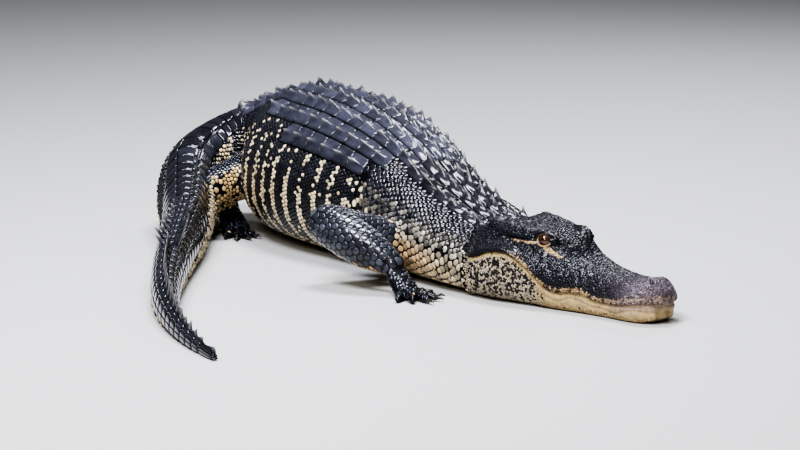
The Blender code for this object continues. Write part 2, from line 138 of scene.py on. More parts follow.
PANELS = [  # name, place, aim, size, watts, colour
    ("sky", (1.2, -1.5, 2.7), (0.1, -0.1, 0.1), (1.5, 1.0), 185, (0.88, 0.895, 1)),
    ("overhead", (-0.3, 0.3, 3.0), (0.1, 0, 0), (1.2, 0.8), 135, (0.90, 0.92, 1)),
    ("beside_camera", (3.4, -2.6, 2.2), (0.3, 0, 0.1), (0.8, 0.6), 80, (1, 0.94, 0.84)),
    ("behind", (-1.8, 2.2, 2.0), (0, 0, 0.1), (1.2, 0.5), 30, (0.93, 0.94, 1)),
]
for panel in PANELS:
    soft_panel(*panel)
world = bpy.data.worlds.new("pale_room")
bpy.context.scene.world = world
world.use_nodes = True
fill_in(world.node_tree.nodes["Background"], Color=(0.86, 0.90, 0.95, 1), Strength=0.10)
bpy.context.scene.view_settings.look = "AgX - High Contrast"
print("panels:", len(PANELS))

# %% [markdown]
# ## Sizes of the body
# Everything is measured as s, metres along the spine from the tip of the snout, and
# as an angle round the body from the middle of the back.  Each outline is a smooth
# curve through a few measured pairs, the same ones that shape the solids, so the
# hide fits them with no fitting by hand.


# %% Curves of the body
def curve(pairs):
    """Smooth curve through pairs, for a number or an array, with no overshoot."""
    xs, ys = (np.array(column, float) for column in zip(*pairs))
    steps = np.diff(xs)
    rises = np.diff(ys) / steps
    slopes = np.concatenate([rises[:1], np.zeros(len(xs) - 2), rises[-1:]])
    for i in range(1, len(xs) - 1):
        if rises[i - 1] * rises[i] > 0:
            w1 = 2 * steps[i] + steps[i - 1]
            w2 = steps[i] + 2 * steps[i - 1]
            slopes[i] = (w1 + w2) / (w1 / rises[i - 1] + w2 / rises[i])

    def value(x):
        x = np.clip(np.asarray(x, float), xs[0], xs[-1])
        i = np.clip(np.searchsorted(xs, x) - 1, 0, len(steps) - 1)
        t = (x - xs[i]) / steps[i]
        return (ys[i] * (1 + 2 * t) * (1 - t) ** 2
                + slopes[i] * steps[i] * t * (1 - t) ** 2
                + ys[i + 1] * t * t * (3 - 2 * t)
                + slopes[i + 1] * steps[i] * t * t * (t - 1))
    return value


LENGTH = 2.60
HEAD_END = 0.385
NECK_FROM, NECK_END = 0.392, 0.66
heading = curve([(0, 12), (0.42, 12), (0.52, 7), (0.66, 0), (1.05, 0), (1.14, 13),
                 (1.22, 44), (1.30, 91), (1.38, 134), (1.46, 153), (1.60, 154),
                 (1.80, 150), (2.05, 152), (2.35, 164), (2.60, 178)])
half_width = curve([(0.385, 0.104), (0.45, 0.109), (0.55, 0.114), (0.65, 0.125),
                    (0.78, 0.151), (0.92, 0.172), (1.04, 0.165), (1.14, 0.130),
                    (1.24, 0.092), (1.35, 0.068), (1.50, 0.052), (1.70, 0.041),
                    (2.00, 0.029), (2.30, 0.018), (2.60, 0.004)])
top = curve([(0.385, 0.121), (0.42, 0.127), (0.47, 0.145), (0.55, 0.178),
             (0.65, 0.221), (0.78, 0.257), (0.92, 0.275), (1.05, 0.276),
             (1.15, 0.256), (1.25, 0.222), (1.35, 0.182), (1.45, 0.152),
             (1.60, 0.124), (1.80, 0.102), (2.05, 0.078), (2.30, 0.050),
             (2.60, 0.010)])
bottom = curve([(0.385, -0.003), (0.60, -0.002), (0.66, -0.004), (1.02, -0.004),
                (1.12, 0.026), (1.24, 0.046), (1.36, 0.016), (1.46, -0.003),
                (2.60, -0.001)])
row_length = curve([(0.385, 0.033), (0.52, 0.037), (0.62, 0.041), (1.15, 0.042),
                    (1.30, 0.039), (1.60, 0.037), (2.10, 0.034), (2.60, 0.027)])

# %% Follow the spine
SPINE_S = np.arange(0, LENGTH + 0.0005, 0.001)
turns = np.radians(heading(SPINE_S))
SPINE_X = -np.concatenate([[0], np.cumsum((np.cos(turns)[1:] + np.cos(turns)[:-1])
                                          / 2 * np.diff(SPINE_S))])
SPINE_Y = -np.concatenate([[0], np.cumsum((np.sin(turns)[1:] + np.sin(turns)[:-1])
                                          / 2 * np.diff(SPINE_S))])
ORIGIN_S = 0.90
SPINE_X -= np.interp(ORIGIN_S, SPINE_S, SPINE_X)
SPINE_Y -= np.interp(ORIGIN_S, SPINE_S, SPINE_Y)
FLOOR_LIFT = 0.0006
WIDEST_AT = 0.42
UNDER_POWER = 1.2


def place(s, out, up):
    """Points at s along the spine, out to the animal's left, up from the floor."""
    s, out, up = np.broadcast_arrays(*(np.asarray(v, float) for v in (s, out, up)))
    turn = np.radians(heading(s))
    x = np.interp(s, SPINE_S, SPINE_X) - np.sin(turn) * out
    y = np.interp(s, SPINE_S, SPINE_Y) + np.cos(turn) * out
    return np.stack([x, y, np.maximum(up, FLOOR_LIFT)], axis=-1)


def body_surface(s, degrees, lift=0.0):
    """Points of the body's hide, degrees round from the middle of the back."""
    angle = np.radians(degrees)
    side, rise = np.sin(angle), np.cos(angle)
    low, high, wide = bottom(s), top(s), half_width(s)
    level = low + (high - low) * WIDEST_AT
    tall = np.where(rise > 0, high - level, level - low)
    power = np.where(rise > 0, 1.0, 1 / UNDER_POWER)
    out = wide * np.sign(side) * np.abs(side) ** power
    up = tall * np.sign(rise) * np.abs(rise) ** power
    nx, nz = out / wide ** 2, up / tall ** 2
    size = np.maximum(np.hypot(nx, nz), 1e-9)
    return place(s, out + nx / size * lift, level + up + nz / size * lift)


def rows_of_scutes():
    """Borders of the rows of scutes, as s, from the back of the head to the tip."""
    borders = [HEAD_END]
    while borders[-1] < LENGTH - 0.03:
        borders.append(borders[-1] + float(row_length(borders[-1])))
    borders[-1] = LENGTH
    return np.array(borders)


ROWS = rows_of_scutes()
print("rows of scutes from the neck to the tail tip:", len(ROWS) - 1)

# %% [markdown]
# ## The hide
# On the real animal the hide is one surface from the snout to the toes.  Here the
# head, jaw, trunk, limbs and digits are lofted as closed forms that overlap, then a
# voxel remesh melts them into one skin.  A smooth modifier rounds the creases where
# the limbs leave the trunk.  A Boolean would keep those creases sharp.

# %% Curves of the head
head_width = curve([(0, 0.012), (0.006, 0.024), (0.018, 0.038), (0.035, 0.048),
                    (0.06, 0.052), (0.078, 0.049), (0.10, 0.052), (0.14, 0.060),
                    (0.19, 0.069), (0.24, 0.081), (0.30, 0.094), (0.35, 0.103),
                    (0.385, 0.104)])
ridge_out = curve([(0, 0.005), (0.01, 0.013), (0.03, 0.020), (0.06, 0.023),
                   (0.12, 0.026), (0.18, 0.030), (0.22, 0.034), (0.25, 0.040),
                   (0.28, 0.047), (0.32, 0.054), (0.36, 0.057), (0.385, 0.060)])
ridge_up = curve([(0, 0.050), (0.010, 0.061), (0.03, 0.070), (0.05, 0.068),
                  (0.08, 0.066), (0.12, 0.069), (0.17, 0.078), (0.20, 0.089),
                  (0.225, 0.106), (0.25, 0.119), (0.28, 0.125), (0.31, 0.128),
                  (0.345, 0.131), (0.362, 0.129), (0.385, 0.119)])
middle_dip = curve([(0, 0), (0.03, 0.002), (0.06, -0.001), (0.12, -0.002),
                    (0.18, 0.001), (0.25, 0.008), (0.29, 0.003), (0.36, 0.002),
                    (0.385, -0.002)])
side_out = curve([(0, 0.010), (0.01, 0.022), (0.03, 0.037), (0.06, 0.042),
                  (0.10, 0.043), (0.15, 0.049), (0.20, 0.056), (0.25, 0.062),
                  (0.30, 0.068), (0.385, 0.084)])
side_up = curve([(0, 0.046), (0.02, 0.057), (0.06, 0.058), (0.12, 0.060),
                 (0.18, 0.067), (0.22, 0.080), (0.25, 0.092), (0.28, 0.099),
                 (0.32, 0.103), (0.36, 0.104), (0.385, 0.101)])
lip_up = curve([(0, 0.041), (0.05, 0.043), (0.09, 0.039), (0.13, 0.044),
                (0.18, 0.047), (0.23, 0.059), (0.27, 0.079), (0.31, 0.094),
                (0.385, 0.078)])
mouth = curve([(0, 0.033), (0.03, 0.032), (0.06, 0.027), (0.09, 0.024),
               (0.12, 0.026), (0.15, 0.034), (0.17, 0.034), (0.195, 0.030),
               (0.215, 0.033), (0.235, 0.046), (0.26, 0.067), (0.285, 0.081),
               (0.305, 0.087), (0.335, 0.084), (0.362, 0.074), (0.385, 0.068)])
jaw_width = curve([(0, 0.010), (0.012, 0.026), (0.035, 0.041), (0.06, 0.046),
                   (0.10, 0.047), (0.15, 0.056), (0.20, 0.067), (0.25, 0.081),
                   (0.30, 0.098), (0.34, 0.107), (0.385, 0.105)])
chin = curve([(0, 0.018), (0.01, 0.008), (0.025, 0.001), (0.045, -0.004),
              (0.385, -0.004)])


# %% Loft the parts of the body
def loft(name, rings):
    """Closed mesh object over equal rings, given as one array of points."""
    count, sides = rings.shape[:2]
    i, j = np.meshgrid(np.arange(count - 1), np.arange(sides), indexing="ij")
    k = (j + 1) % sides
    quads = np.stack([i * sides + j, i * sides + k, (i + 1) * sides + k,
                      (i + 1) * sides + j], -1).reshape(-1, 4)
    faces = quads.tolist() + [list(range(sides)),
                              list(range((count - 1) * sides, count * sides))]
    mesh = bpy.data.meshes.new(name)
    mesh.from_pydata(rings.reshape(-1, 3).tolist(), [], faces)
    form = bpy.data.objects.new(name, mesh)
    bpy.context.collection.objects.link(form)
    bpy.ops.object.select_all(action="DESELECT")
    bpy.context.view_layer.objects.active = form
    form.select_set(True)
    bpy.ops.object.mode_set(mode="EDIT")
    bpy.ops.mesh.select_all(action="SELECT")
    bpy.ops.mesh.normals_make_consistent(inside=False)
    bpy.ops.object.mode_set(mode="OBJECT")
    return form


def smooth_arc(points, count):
    """Points on a smooth line through the given ones, count to a span."""
    line = []
    last = len(points) - 1
    for i in range(last):
        p0, p1 = points[max(i - 1, 0)], points[i]
        p2, p3 = points[i + 1], points[min(i + 2, last)]
        for t in np.arange(count) / count:
            line.append(0.5 * (2 * p1 + (p2 - p0) * t
                               + (2 * p0 - 5 * p1 + 4 * p2 - p3) * t * t
                               + (3 * p1 - p0 - 3 * p2 + p3) * t ** 3))
    line.append(points[-1])
    return np.array(line)


def mirrored_ring(s, half, shelf_up):
    """Ring from a half outline of (out, up), closed by two points on its flat side."""
    outs = np.concatenate([half[::-1, 0], -half[1:, 0], [-0.5 * half[-1, 0],
                                                         0.5 * half[-1, 0]]])
    ups = np.concatenate([half[::-1, 1], half[1:, 1], [shelf_up] * 2])
    return place(s, outs, ups)


def upper_head_ring(s):
    """Outline of the skull at s, down to the mouth."""
    high, wide = float(ridge_up(s)), float(head_width(s))
    half = np.array([(0, high - float(middle_dip(s))), (float(ridge_out(s)), high),
                     (float(side_out(s)), float(side_up(s))),
                     (wide, float(lip_up(s))), (wide - 0.003, float(mouth(s)))])
    return mirrored_ring(s, smooth_arc(half, 6), float(mouth(s)))


def jaw_ring(s):
    """Outline of the lower jaw at s, up to the mouth."""
    roof, wide, under = float(mouth(s)), float(jaw_width(s)), float(chin(s))
    lip = min(float(head_width(s)) - 0.004, wide)
    half = np.array([(0, under), (wide * 0.5, under + 0.002),
                     (wide * 0.86, roof * 0.16 + under * 0.5), (wide, roof * 0.55),
                     (lip, roof + 0.003)])
    return mirrored_ring(s, smooth_arc(half, 4), roof + 0.003)


HIDE_UNDER = 0.0014
stations = np.concatenate([[0.0018, 0.004, 0.008], np.arange(0.013, 0.405, 0.004)])
forms = [loft("upper_head", np.array([upper_head_ring(s) for s in stations])),
         loft("jaw", np.array([jaw_ring(s) for s in stations[2:]]))]
body_s = np.arange(0.362, LENGTH, 0.005)
around = np.arange(0, 360, 3.0)
trunk = loft("trunk", np.array([body_surface(np.full(len(around), s), around,
                                             -HIDE_UNDER) for s in body_s]))
forms.append(trunk)

# %% Loft the limbs
LIMBS = {
    "fore_right": [(0.340, -0.070, 0.058), (0.318, -0.222, 0.106),
                   (0.440, -0.163, 0.052), (0.560, -0.156, 0.004)],
    "fore_left": [(0.27, 0.075, 0.110), (0.150, 0.175, 0.070),
                  (0.255, 0.210, 0.040), (0.360, 0.203, 0.004)],
    "hind_right": [(-0.220, -0.055, 0.125), (-0.196, -0.200, 0.094),
                   (-0.238, -0.146, 0.034), (-0.130, -0.172, 0.004)],
    "hind_left": [(-0.225, 0.055, 0.125), (-0.150, 0.205, 0.105),
                  (-0.235, 0.220, 0.040), (-0.110, 0.262, 0.004)],
}
LIMB_RADII = {"fore": ((0.038, 0.036), (0.037, 0.040, 0.036, 0.023)),
              "hind": ((0.052, 0.036), (0.033, 0.031, 0.025, 0.019))}
DIGITS = {"fore": [-48, -24, -2, 20, 46], "hind": [-30, -10, 10, 32]}
PALM = {"fore": 0.024, "hind": 0.028}
DIGIT_RADIUS = 0.0078
CLAW_RADIUS = 0.0036
CLAW_LENGTH = 0.017


def ring_round(centre, along, radius, angles, flat=1.0):
    """Points at angles round an axis, flat times as far up as across."""
    across = along.cross(Vector((0, 0, 1))).normalized()
    upward = across.cross(along)
    return (np.array(centre) + np.outer(np.cos(angles), across) * radius
            + np.outer(np.sin(angles), upward) * radius * flat)


def tube(name, path, radii, flat=1.0, sides=20, domes=True):
    """Closed tube round a path, its ends rounded off when domes is true."""
    path = [Vector(p) for p in path]
    rings = []
    last = len(path) - 1
    for i, centre in enumerate(path):
        along = (path[min(i + 1, last)] - path[max(i - 1, 0)]).normalized()
        rings.append((centre, along, radii[i]))
    if domes:
        for sign, end in ((-1, rings[0]), (1, rings[-1])):
            centre, along, radius = end
            cap = [(centre + sign * along * radius * math.sin(a), along,
                    radius * math.cos(a)) for a in (0.4, 0.8, 1.1, 1.35)]
            rings = cap[::-1] + rings if sign < 0 else rings + cap
    angles = np.arange(sides) * 2 * math.pi / sides
    layers = []
    for centre, along, radius in rings:
        ring = ring_round(centre, along, radius, angles, flat)
        ring[:, 2] = np.maximum(ring[:, 2], FLOOR_LIFT)
        layers.append(ring)
    return loft(name, np.array(layers))


def between(a, b, t):
    """Point a share t of the way from a to b."""
    return Vector(a).lerp(Vector(b), t)


SIDES = {"left": 1, "right": -1}
claw_roots = {}
limb_lines = []
for key, points in LIMBS.items():
    kind, side = key.split("_")
    shoulder, elbow, wrist, tip = [Vector(p) for p in points]
    upper, lower = LIMB_RADII[kind]
    trim = HIDE_UNDER
    forms.append(tube(key + "_upper", [between(shoulder, elbow, t) for t in (0, 0.5, 1)],
                      [upper[0] - trim, sum(upper) / 2 - trim, upper[1] - trim]))
    spots = np.linspace(0, 1, 9)
    widths = np.interp(spots, np.linspace(0, 1, len(lower)), lower) - trim
    forms.append(tube(key + "_lower", [between(elbow, wrist, t) for t in spots], widths))
    limb_lines.append((shoulder, elbow, upper[0], upper[1]))
    for number in range(3):
        limb_lines.append((between(elbow, wrist, number / 3),
                           between(elbow, wrist, (number + 1) / 3), lower[number],
                           lower[number + 1]))
    along = Vector((tip.x - wrist.x, tip.y - wrist.y, 0))
    reach = along.length
    along.normalize()
    knuckle = Vector((wrist.x, wrist.y, 0)) + along * reach * 0.40
    knuckle.z = 0.012
    middle = between(wrist, knuckle, 0.5)
    middle.z = (wrist.z + knuckle.z) * 0.45
    palm = PALM[kind]
    forms.append(tube(key + "_palm", [wrist, middle, knuckle],
                      [palm * 0.72, palm * 0.9, palm * 0.98], flat=0.55))
    limb_lines.append((wrist, knuckle, palm * 0.7, palm))
    for number, degrees in enumerate(DIGITS[kind]):
        angle = math.atan2(along.y, along.x) + SIDES[side] * math.radians(degrees)
        way = Vector((math.cos(angle), math.sin(angle), 0))
        length = reach * 0.60 * (1.0 - 0.0055 * abs(degrees))
        root = knuckle - along * 0.004
        joints = [root + way * length * t for t in (0, 0.30, 0.42, 0.55, 0.68, 0.80, 1)]
        for joint, z in zip(joints, (0.012, 0.0115, 0.0105, 0.0105, 0.009, 0.008,
                                     0.0056)):
            joint.z = z
        widths = [DIGIT_RADIUS * w for w in (1.1, 0.98, 0.86, 1.0, 0.80, 0.88, 0.55)]
        forms.append(tube(f"{key}_digit_{number}", joints, widths, sides=14))
        limb_lines.append((joints[0], joints[-1], DIGIT_RADIUS, DIGIT_RADIUS * 0.6))
        if number < 3:
            foot = "hand" if kind == "fore" else "foot"
            claw_roots[f"claw_{foot}_{side}_{number + 1}"] = (joints[-1], way)
print("closed forms to melt together:", len(forms))

# %% Raise the mounds over the eyes
EYE_S, EYE_OUT, EYE_UP = 0.252, 0.041, 0.1105
EYE_RADIUS = 0.0135
MOUND_RADII = (0.0325, 0.0155, 0.0165)
HEAD_TURN = math.radians(12)
head_forward = Vector((math.cos(HEAD_TURN), math.sin(HEAD_TURN), 0))
head_left = Vector((-math.sin(HEAD_TURN), math.cos(HEAD_TURN), 0))
EYES = {side: Vector(place(EYE_S, sign * EYE_OUT, EYE_UP))
        for side, sign in SIDES.items()}
for sign in SIDES.values():
    centre = Vector(place(EYE_S + 0.006, sign * EYE_OUT, EYE_UP - 0.0005))
    bpy.ops.mesh.primitive_uv_sphere_add(segments=32, ring_count=20, location=centre,
                                         rotation=(0, 0, HEAD_TURN))
    mound = bpy.context.object
    mound.scale = MOUND_RADII
    bpy.ops.object.transform_apply(location=True, rotation=True, scale=True)
    forms.append(mound)

# %% Melt them into one skin
VOXEL = 0.0022
bpy.ops.object.select_all(action="DESELECT")
for form in forms:
    form.select_set(True)
hide = trunk
bpy.context.view_layer.objects.active = hide
bpy.ops.object.join()
hide.name = "hide"
hide.data.name = "hide"
melt = hide.modifiers.new("melt", "REMESH")
melt.mode = "VOXEL"
melt.voxel_size = VOXEL
bpy.ops.object.modifier_apply(modifier="melt")


def vectors_of(mesh, kind):
    """Places of the vertices of a mesh, kind co, or their normals, kind normal."""
    flat = np.empty(len(mesh.vertices) * 3, np.float32)
    mesh.vertices.foreach_get(kind, flat)
    return flat.reshape(-1, 3).astype(float)


def set_points(mesh, points):
    """Move the vertices of a mesh to points."""
    mesh.vertices.foreach_set("co", points.astype(np.float32).ravel())
    mesh.update()


points = vectors_of(hide.data, "co")
crease = np.full(len(points), 0.15)
for key, joints in LIMBS.items():
    for joint, reach in ((joints[0], 0.17), (joints[1], 0.05), (joints[2], 0.035)):
        away = np.linalg.norm(points - np.array(joint), axis=1)
        crease = np.maximum(crease, np.clip(1.6 - 1.6 * away / reach, 0, 1))
crease[points[:, 0] > 0.56] = 0.12
group = hide.vertex_groups.new(name="crease")
for weight in np.unique(np.round(crease, 1)):
    group.add(np.flatnonzero(np.round(crease, 1) == weight).tolist(), float(weight),
              "REPLACE")
ease = hide.modifiers.new("ease", "SMOOTH")
ease.factor = 0.5
ease.iterations = 30
ease.vertex_group = "crease"
bpy.ops.object.modifier_apply(modifier="ease")
print("hide:", len(hide.data.polygons), "faces")

# %% [markdown]
# ## Carve the head
# The mouth is a fine dark line between two low lips, and the ear is a slit under a
# flap.  The skull table has raised edges, and the hide on it follows pitted bone.
# These are pushed into the skin point by point, as a sculptor would press them in,
# because each is a formula of where the point lies on the head.

# %% Push folds and ridges into the skin
SNOUT = Vector(place(0.0, 0.0, 0.0))
HEAD_HALF_WIDTH = 0.16
EAR_SLIT = ((0.278, 0.060, 0.1095), (0.326, 0.069, 0.1110))
EAR_FLAP = ((0.275, 0.060, 0.1160), (0.330, 0.066, 0.1175))
NOSTRIL = ((0.020, 0.0165), (0.0300, 0.0100))


def head_frame(points):
    """s, out and up of points in the straight frame of the head."""
    local = points - np.array(SNOUT)
    return -(local @ np.array(head_forward)), local @ np.array(head_left), points[:, 2]


def bump(distance, width):
    """1 at no distance, falling softly to 0 beyond the width."""
    return np.exp(-(distance / width) ** 2)


def ramp(low, high, value):
    """0 at low and 1 at high, with a smooth step between."""
    t = np.clip((value - low) / (high - low), 0, 1)
    return t * t * (3 - 2 * t)


def segment_distance(points, start, end):
    """Distance of each point from a segment, and how far along it the nearest lies."""
    start, end = np.array(start, float), np.array(end, float)
    way = end - start
    t = np.clip((points - start) @ way / (way @ way), 0, 1)
    return np.linalg.norm(points - start - t[:, None] * way, axis=1), t


def rough(points, size, seed=0.0):
    """Soft random value at each point, about size metres from bump to bump."""
    return np.array([noise.noise(Vector(p) / size + Vector((seed, 0, 0)))
                     for p in points.tolist()])


points = vectors_of(hide.data, "co")
normals = vectors_of(hide.data, "normal")
s, out, up = head_frame(points)
on_head = (s < 0.50) & (np.abs(out) < HEAD_HALF_WIDTH)
head_points = points[on_head]
hs, ho, hu = s[on_head], out[on_head], up[on_head]
away = np.abs(ho)
push = np.zeros(len(hs))

slope = (mouth(hs + 0.004) - mouth(hs - 0.004)) / 0.008
from_mouth = (hu - mouth(hs)) / np.sqrt(1 + slope ** 2)
mouth_zone = (away > 0.45 * head_width(hs)) * (1 - ramp(0.365, HEAD_END, hs))
push += mouth_zone * (-0.0034 * bump(from_mouth, 0.0016)
                      + 0.0011 * bump(from_mouth - 0.0055, 0.0035)
                      + 0.0009 * bump(from_mouth + 0.0050, 0.0030))

head_place = np.stack([hs, away, hu], 1)
ear_line = segment_distance(head_place, *EAR_SLIT)[0]
push += -0.0040 * bump(ear_line, 0.0017)
ear_flap = segment_distance(head_place, *EAR_FLAP)[0]
push += 0.0018 * bump(ear_flap, 0.0040)

table = ramp(0.262, 0.285, hs) * (1 - ramp(0.366, 0.380, hs))
push += 0.0016 * table * bump(away - ridge_out(hs) * 1.02, 0.0050) * (hu > 0.11)
corner = np.sqrt((hs - 0.362) ** 2 + (away - 0.056) ** 2 + (hu - 0.126) ** 2)
push += 0.0045 * bump(corner, 0.011)
push -= 0.0020 * bump(np.sqrt(((hs - 0.318) / 1.3) ** 2 + (away - 0.028) ** 2),
                      0.009) * (hu > 0.11)
brow = segment_distance(head_place[:, :2], (0.232, 0.040), (0.168, 0.031))[0]
push += 0.0022 * bump(brow, 0.0045) * (hu > 0.07)
push -= 0.0014 * bump(away, 0.006) * bump(hs - 0.150, 0.05) * (hu > 0.05)

nose = np.sqrt((hs - 0.030) ** 2 + ho ** 2)
push += 0.0030 * bump(nose, 0.017) * (hu > 0.05)
nostril = segment_distance(head_place[:, :2], *NOSTRIL)[0]
push += (0.0022 * bump(nostril - 0.0045, 0.0024)
         - 0.0060 * bump(nostril, 0.0026)) * (hu > 0.05)

below = from_mouth + 0.0105 + 0.0022 * np.sin(hs * 2 * math.pi / 0.062)
push += (hs < 0.235) * (
    -0.0012 * bump(below, 0.0016) + 0.0006 * bump(below - 0.004, 0.003)
    + 0.00025 * np.sin(hs * 2 * math.pi / 0.0075 + 60 * hu)
    * ramp(0.002, 0.006, -from_mouth))

grain = rough(head_points, 0.0075) + 0.5 * rough(head_points, 0.0035, 7.0)
above = ramp(0.004, 0.015, from_mouth) * (1 - ramp(0.37, 0.42, hs))
veins = 0.5 - 2.2 * np.abs(rough(head_points, 0.0135, 3.0))
push += (0.0008 * grain + 0.0009 * veins) * above
fold = np.sin((hs - 0.012 * np.cos(away * 60)) * 2 * math.pi / 0.0165)
throat = ramp(0.375, 0.42, hs) * (1 - ramp(0.46, 0.50, hs)) * (hu < 0.105)
push += 0.0011 * fold * throat
jowl_line = segment_distance(head_place[:, ::2], (0.375, 0.088), (0.392, 0.020))[0]
push -= 0.0030 * bump(jowl_line, 0.0035) * (away > 0.05)

head_points = head_points + normals[on_head] * push[:, None]

# %% Open the skin over the eyes
EYE_OPENING = (60, 37, 45)  # degrees: half width, height above, height below


def eye_frame(side):
    """Centre of an eye and its axes: forward along the lids, up, and the gaze."""
    sign = SIDES[side]
    gaze = (head_left * sign * 0.90 + head_forward * 0.28
            + Vector((0, 0, 0.22))).normalized()
    forward = (head_forward - gaze * head_forward.dot(gaze)).normalized()
    upward = forward.cross(gaze) * sign
    return [np.array(v) for v in (EYES[side], forward, upward, gaze)]


def lid_angle(around):
    """Angle from the gaze to the rim of the lids, in degrees, all the way round."""
    wide, tall_above, tall_below = EYE_OPENING
    tall = np.where(np.sin(around) > 0, tall_above, tall_below)
    return 1 / np.sqrt((np.cos(around) / wide) ** 2 + (np.sin(around) / tall) ** 2)


for side in EYES:
    centre, forward, upward, gaze = eye_frame(side)
    ray = head_points - centre
    far = np.linalg.norm(ray, axis=1)
    off_gaze = np.degrees(np.arccos(np.clip(ray @ gaze / np.maximum(far, 1e-6), -1, 1)))
    rim = lid_angle(np.arctan2(ray @ upward, ray @ forward))
    inside = (1 - ramp(rim + 3, rim + 15, off_gaze)) * (far < 0.024)
    wanted = centre + ray / np.maximum(far, 1e-6)[:, None] * (EYE_RADIUS - 0.0030)
    head_points += (wanted - head_points) * inside[:, None]
print("opened over", len(EYES), "eyes")

# %% Set the carved head back
points[on_head] = head_points
points[:, 2] = np.maximum(points[:, 2], FLOOR_LIFT)
set_points(hide.data, points)

# %% Thin the skin where scales will cover it
s, out, up = head_frame(points)
fine = np.clip((0.46 - s) / 0.06, 0, 1) * (np.abs(out) < HEAD_HALF_WIDTH)
for mark in hide.vertex_groups:
    hide.vertex_groups.remove(mark)
group = hide.vertex_groups.new(name="covered")
for weight in np.unique(np.round(fine, 1)):
    group.add(np.flatnonzero(np.round(fine, 1) == weight).tolist(),
              float(1.0 - 0.88 * weight), "REPLACE")
SKIN_TRIANGLES = 188000
thin = hide.modifiers.new("thin", "DECIMATE")
thin.ratio = SKIN_TRIANGLES / (2.0 * len(hide.data.polygons))
thin.use_collapse_triangulate = True
thin.vertex_group = "covered"
thin.vertex_group_factor = 3.0
bpy.ops.object.select_all(action="DESELECT")
hide.select_set(True)
bpy.context.view_layer.objects.active = hide
bpy.ops.object.modifier_apply(modifier="thin")
bpy.ops.object.shade_smooth()
skin_points = vectors_of(hide.data, "co")
skin_normals = vectors_of(hide.data, "normal")
print("skin:", len(hide.data.polygons), "triangles, on the head:",
      int((head_frame(skin_points)[0] < HEAD_END).sum()), "points")

# %% [markdown]
# ## Where each point lies
# Scales grow in rows along the spine and in columns round the body, and the markings
# follow them.  So every point is asked for its s and its angle, and how far it is
# from the nearest limb.

# %% Find s, angle and limb of any point
# The curled tail runs close beside the flank, so the trunk and the tail are searched
# apart, and the one whose surface is nearer is taken.
knots = np.arange(0, len(SPINE_S), 10)
TAIL_KNOT = int(np.searchsorted(SPINE_S[knots], 1.25))
POINTS_AT_ONCE = 20000
skin_tree = BVHTree.FromPolygons(skin_points.tolist(),
                                 [tuple(p.vertices) for p in hide.data.polygons])


def locate(points):
    """s, angle from the middle of the back and height on the skin of each point."""
    nearest = np.empty(len(points), int)
    for first in range(0, len(points), POINTS_AT_ONCE):
        part = points[first:first + POINTS_AT_ONCE]
        gap = np.hypot(part[:, None, 0] - SPINE_X[knots],
                       part[:, None, 1] - SPINE_Y[knots])
        best = gap[:, :TAIL_KNOT].argmin(axis=1)
        other = gap[:, TAIL_KNOT:].argmin(axis=1) + TAIL_KNOT
        each = np.arange(len(part))
        on_tail = (gap[each, other] - half_width(SPINE_S[knots[other]])
                   < gap[each, best] - half_width(SPINE_S[knots[best]]))
        nearest[first:first + POINTS_AT_ONCE] = np.where(on_tail, other, best)
    base = knots[nearest]
    turn = np.radians(heading(SPINE_S[base]))
    dx, dy = points[:, 0] - SPINE_X[base], points[:, 1] - SPINE_Y[base]
    s = np.clip(SPINE_S[base] - (dx * np.cos(turn) + dy * np.sin(turn)), 0, LENGTH)
    turn = np.radians(heading(s))
    out = (-(points[:, 0] - np.interp(s, SPINE_S, SPINE_X)) * np.sin(turn)
           + (points[:, 1] - np.interp(s, SPINE_S, SPINE_Y)) * np.cos(turn))
    low, high = bottom(s), top(s)
    level = low + (high - low) * WIDEST_AT
    rise = points[:, 2] - level
    tall = np.where(rise > 0, high - level, level - low)
    power = np.where(rise > 0, 1.0, UNDER_POWER)
    side = np.abs(out) / half_width(s)
    height = np.abs(rise) / tall
    degrees = np.degrees(np.arctan2(side ** power, np.sign(rise) * height ** power))
    beyond = np.hypot(side, height) - 1
    return s, np.sign(out) * degrees, beyond * np.minimum(half_width(s), tall)


def gap_to_limb(points):
    """Metres from each point to the surface of the nearest limb."""
    gap = np.full(len(points), 1.0)
    for start, end, first, last in limb_lines:
        away, t = segment_distance(points, start, end)
        gap = np.minimum(gap, away - (first + (last - first) * t))
    return gap


# %% [markdown]
# ## Markings
# The back, the outside of the limbs and the top of the head are wet and nearly black,
# and the nose is a violet grey.  The flanks carry columns of cream scales, the lips are
# tan with dark dots, the jowl is cream with fine dark specks, and the throat and belly
# are cream to orange.  One function gives the chance that a scale is pale, with its two
# colours, and the skin between the scales takes the same function.

# %% Colours of every place on the animal
BLACK = np.array((0.0098, 0.0102, 0.0142))
LIMB_BLACK = np.array((0.0090, 0.0105, 0.0180))
# Forearm blue-grey: partly the limb's own colour, partly a painted sky reflection.
FOREARM_GREY_SHEEN = np.array((0.030, 0.032, 0.042))
HEAD_GREY = np.array((0.0090, 0.0088, 0.0125))
NOSE_GREY = np.array((0.105, 0.084, 0.100))
CREAM = np.array((0.60, 0.50, 0.32))
NECK_PALE = np.array((0.34, 0.31, 0.255))
ORANGE = np.array((0.52, 0.30, 0.11))
JOWL_PALE = np.array((0.53, 0.45, 0.34))
JAW_CREAM = np.array((0.54, 0.40, 0.20))
EYE_CREAM = np.array((0.38, 0.26, 0.12))
THIGH_GOLD = np.array((0.42, 0.27, 0.105))
TAN = np.array((0.46, 0.31, 0.17))
LILAC = np.array((0.30, 0.23, 0.23))
EYE_PATCH = ((0.243, 0.054, 0.1005), (0.211, 0.048, 0.0885))
EYE_STREAK = ((0.264, 0.058, 0.1060), (0.312, 0.066, 0.1065))


def mix(a, b, share):
    """Colours a with a share of b in them."""
    return a + (b - a) * np.asarray(share)[..., None]


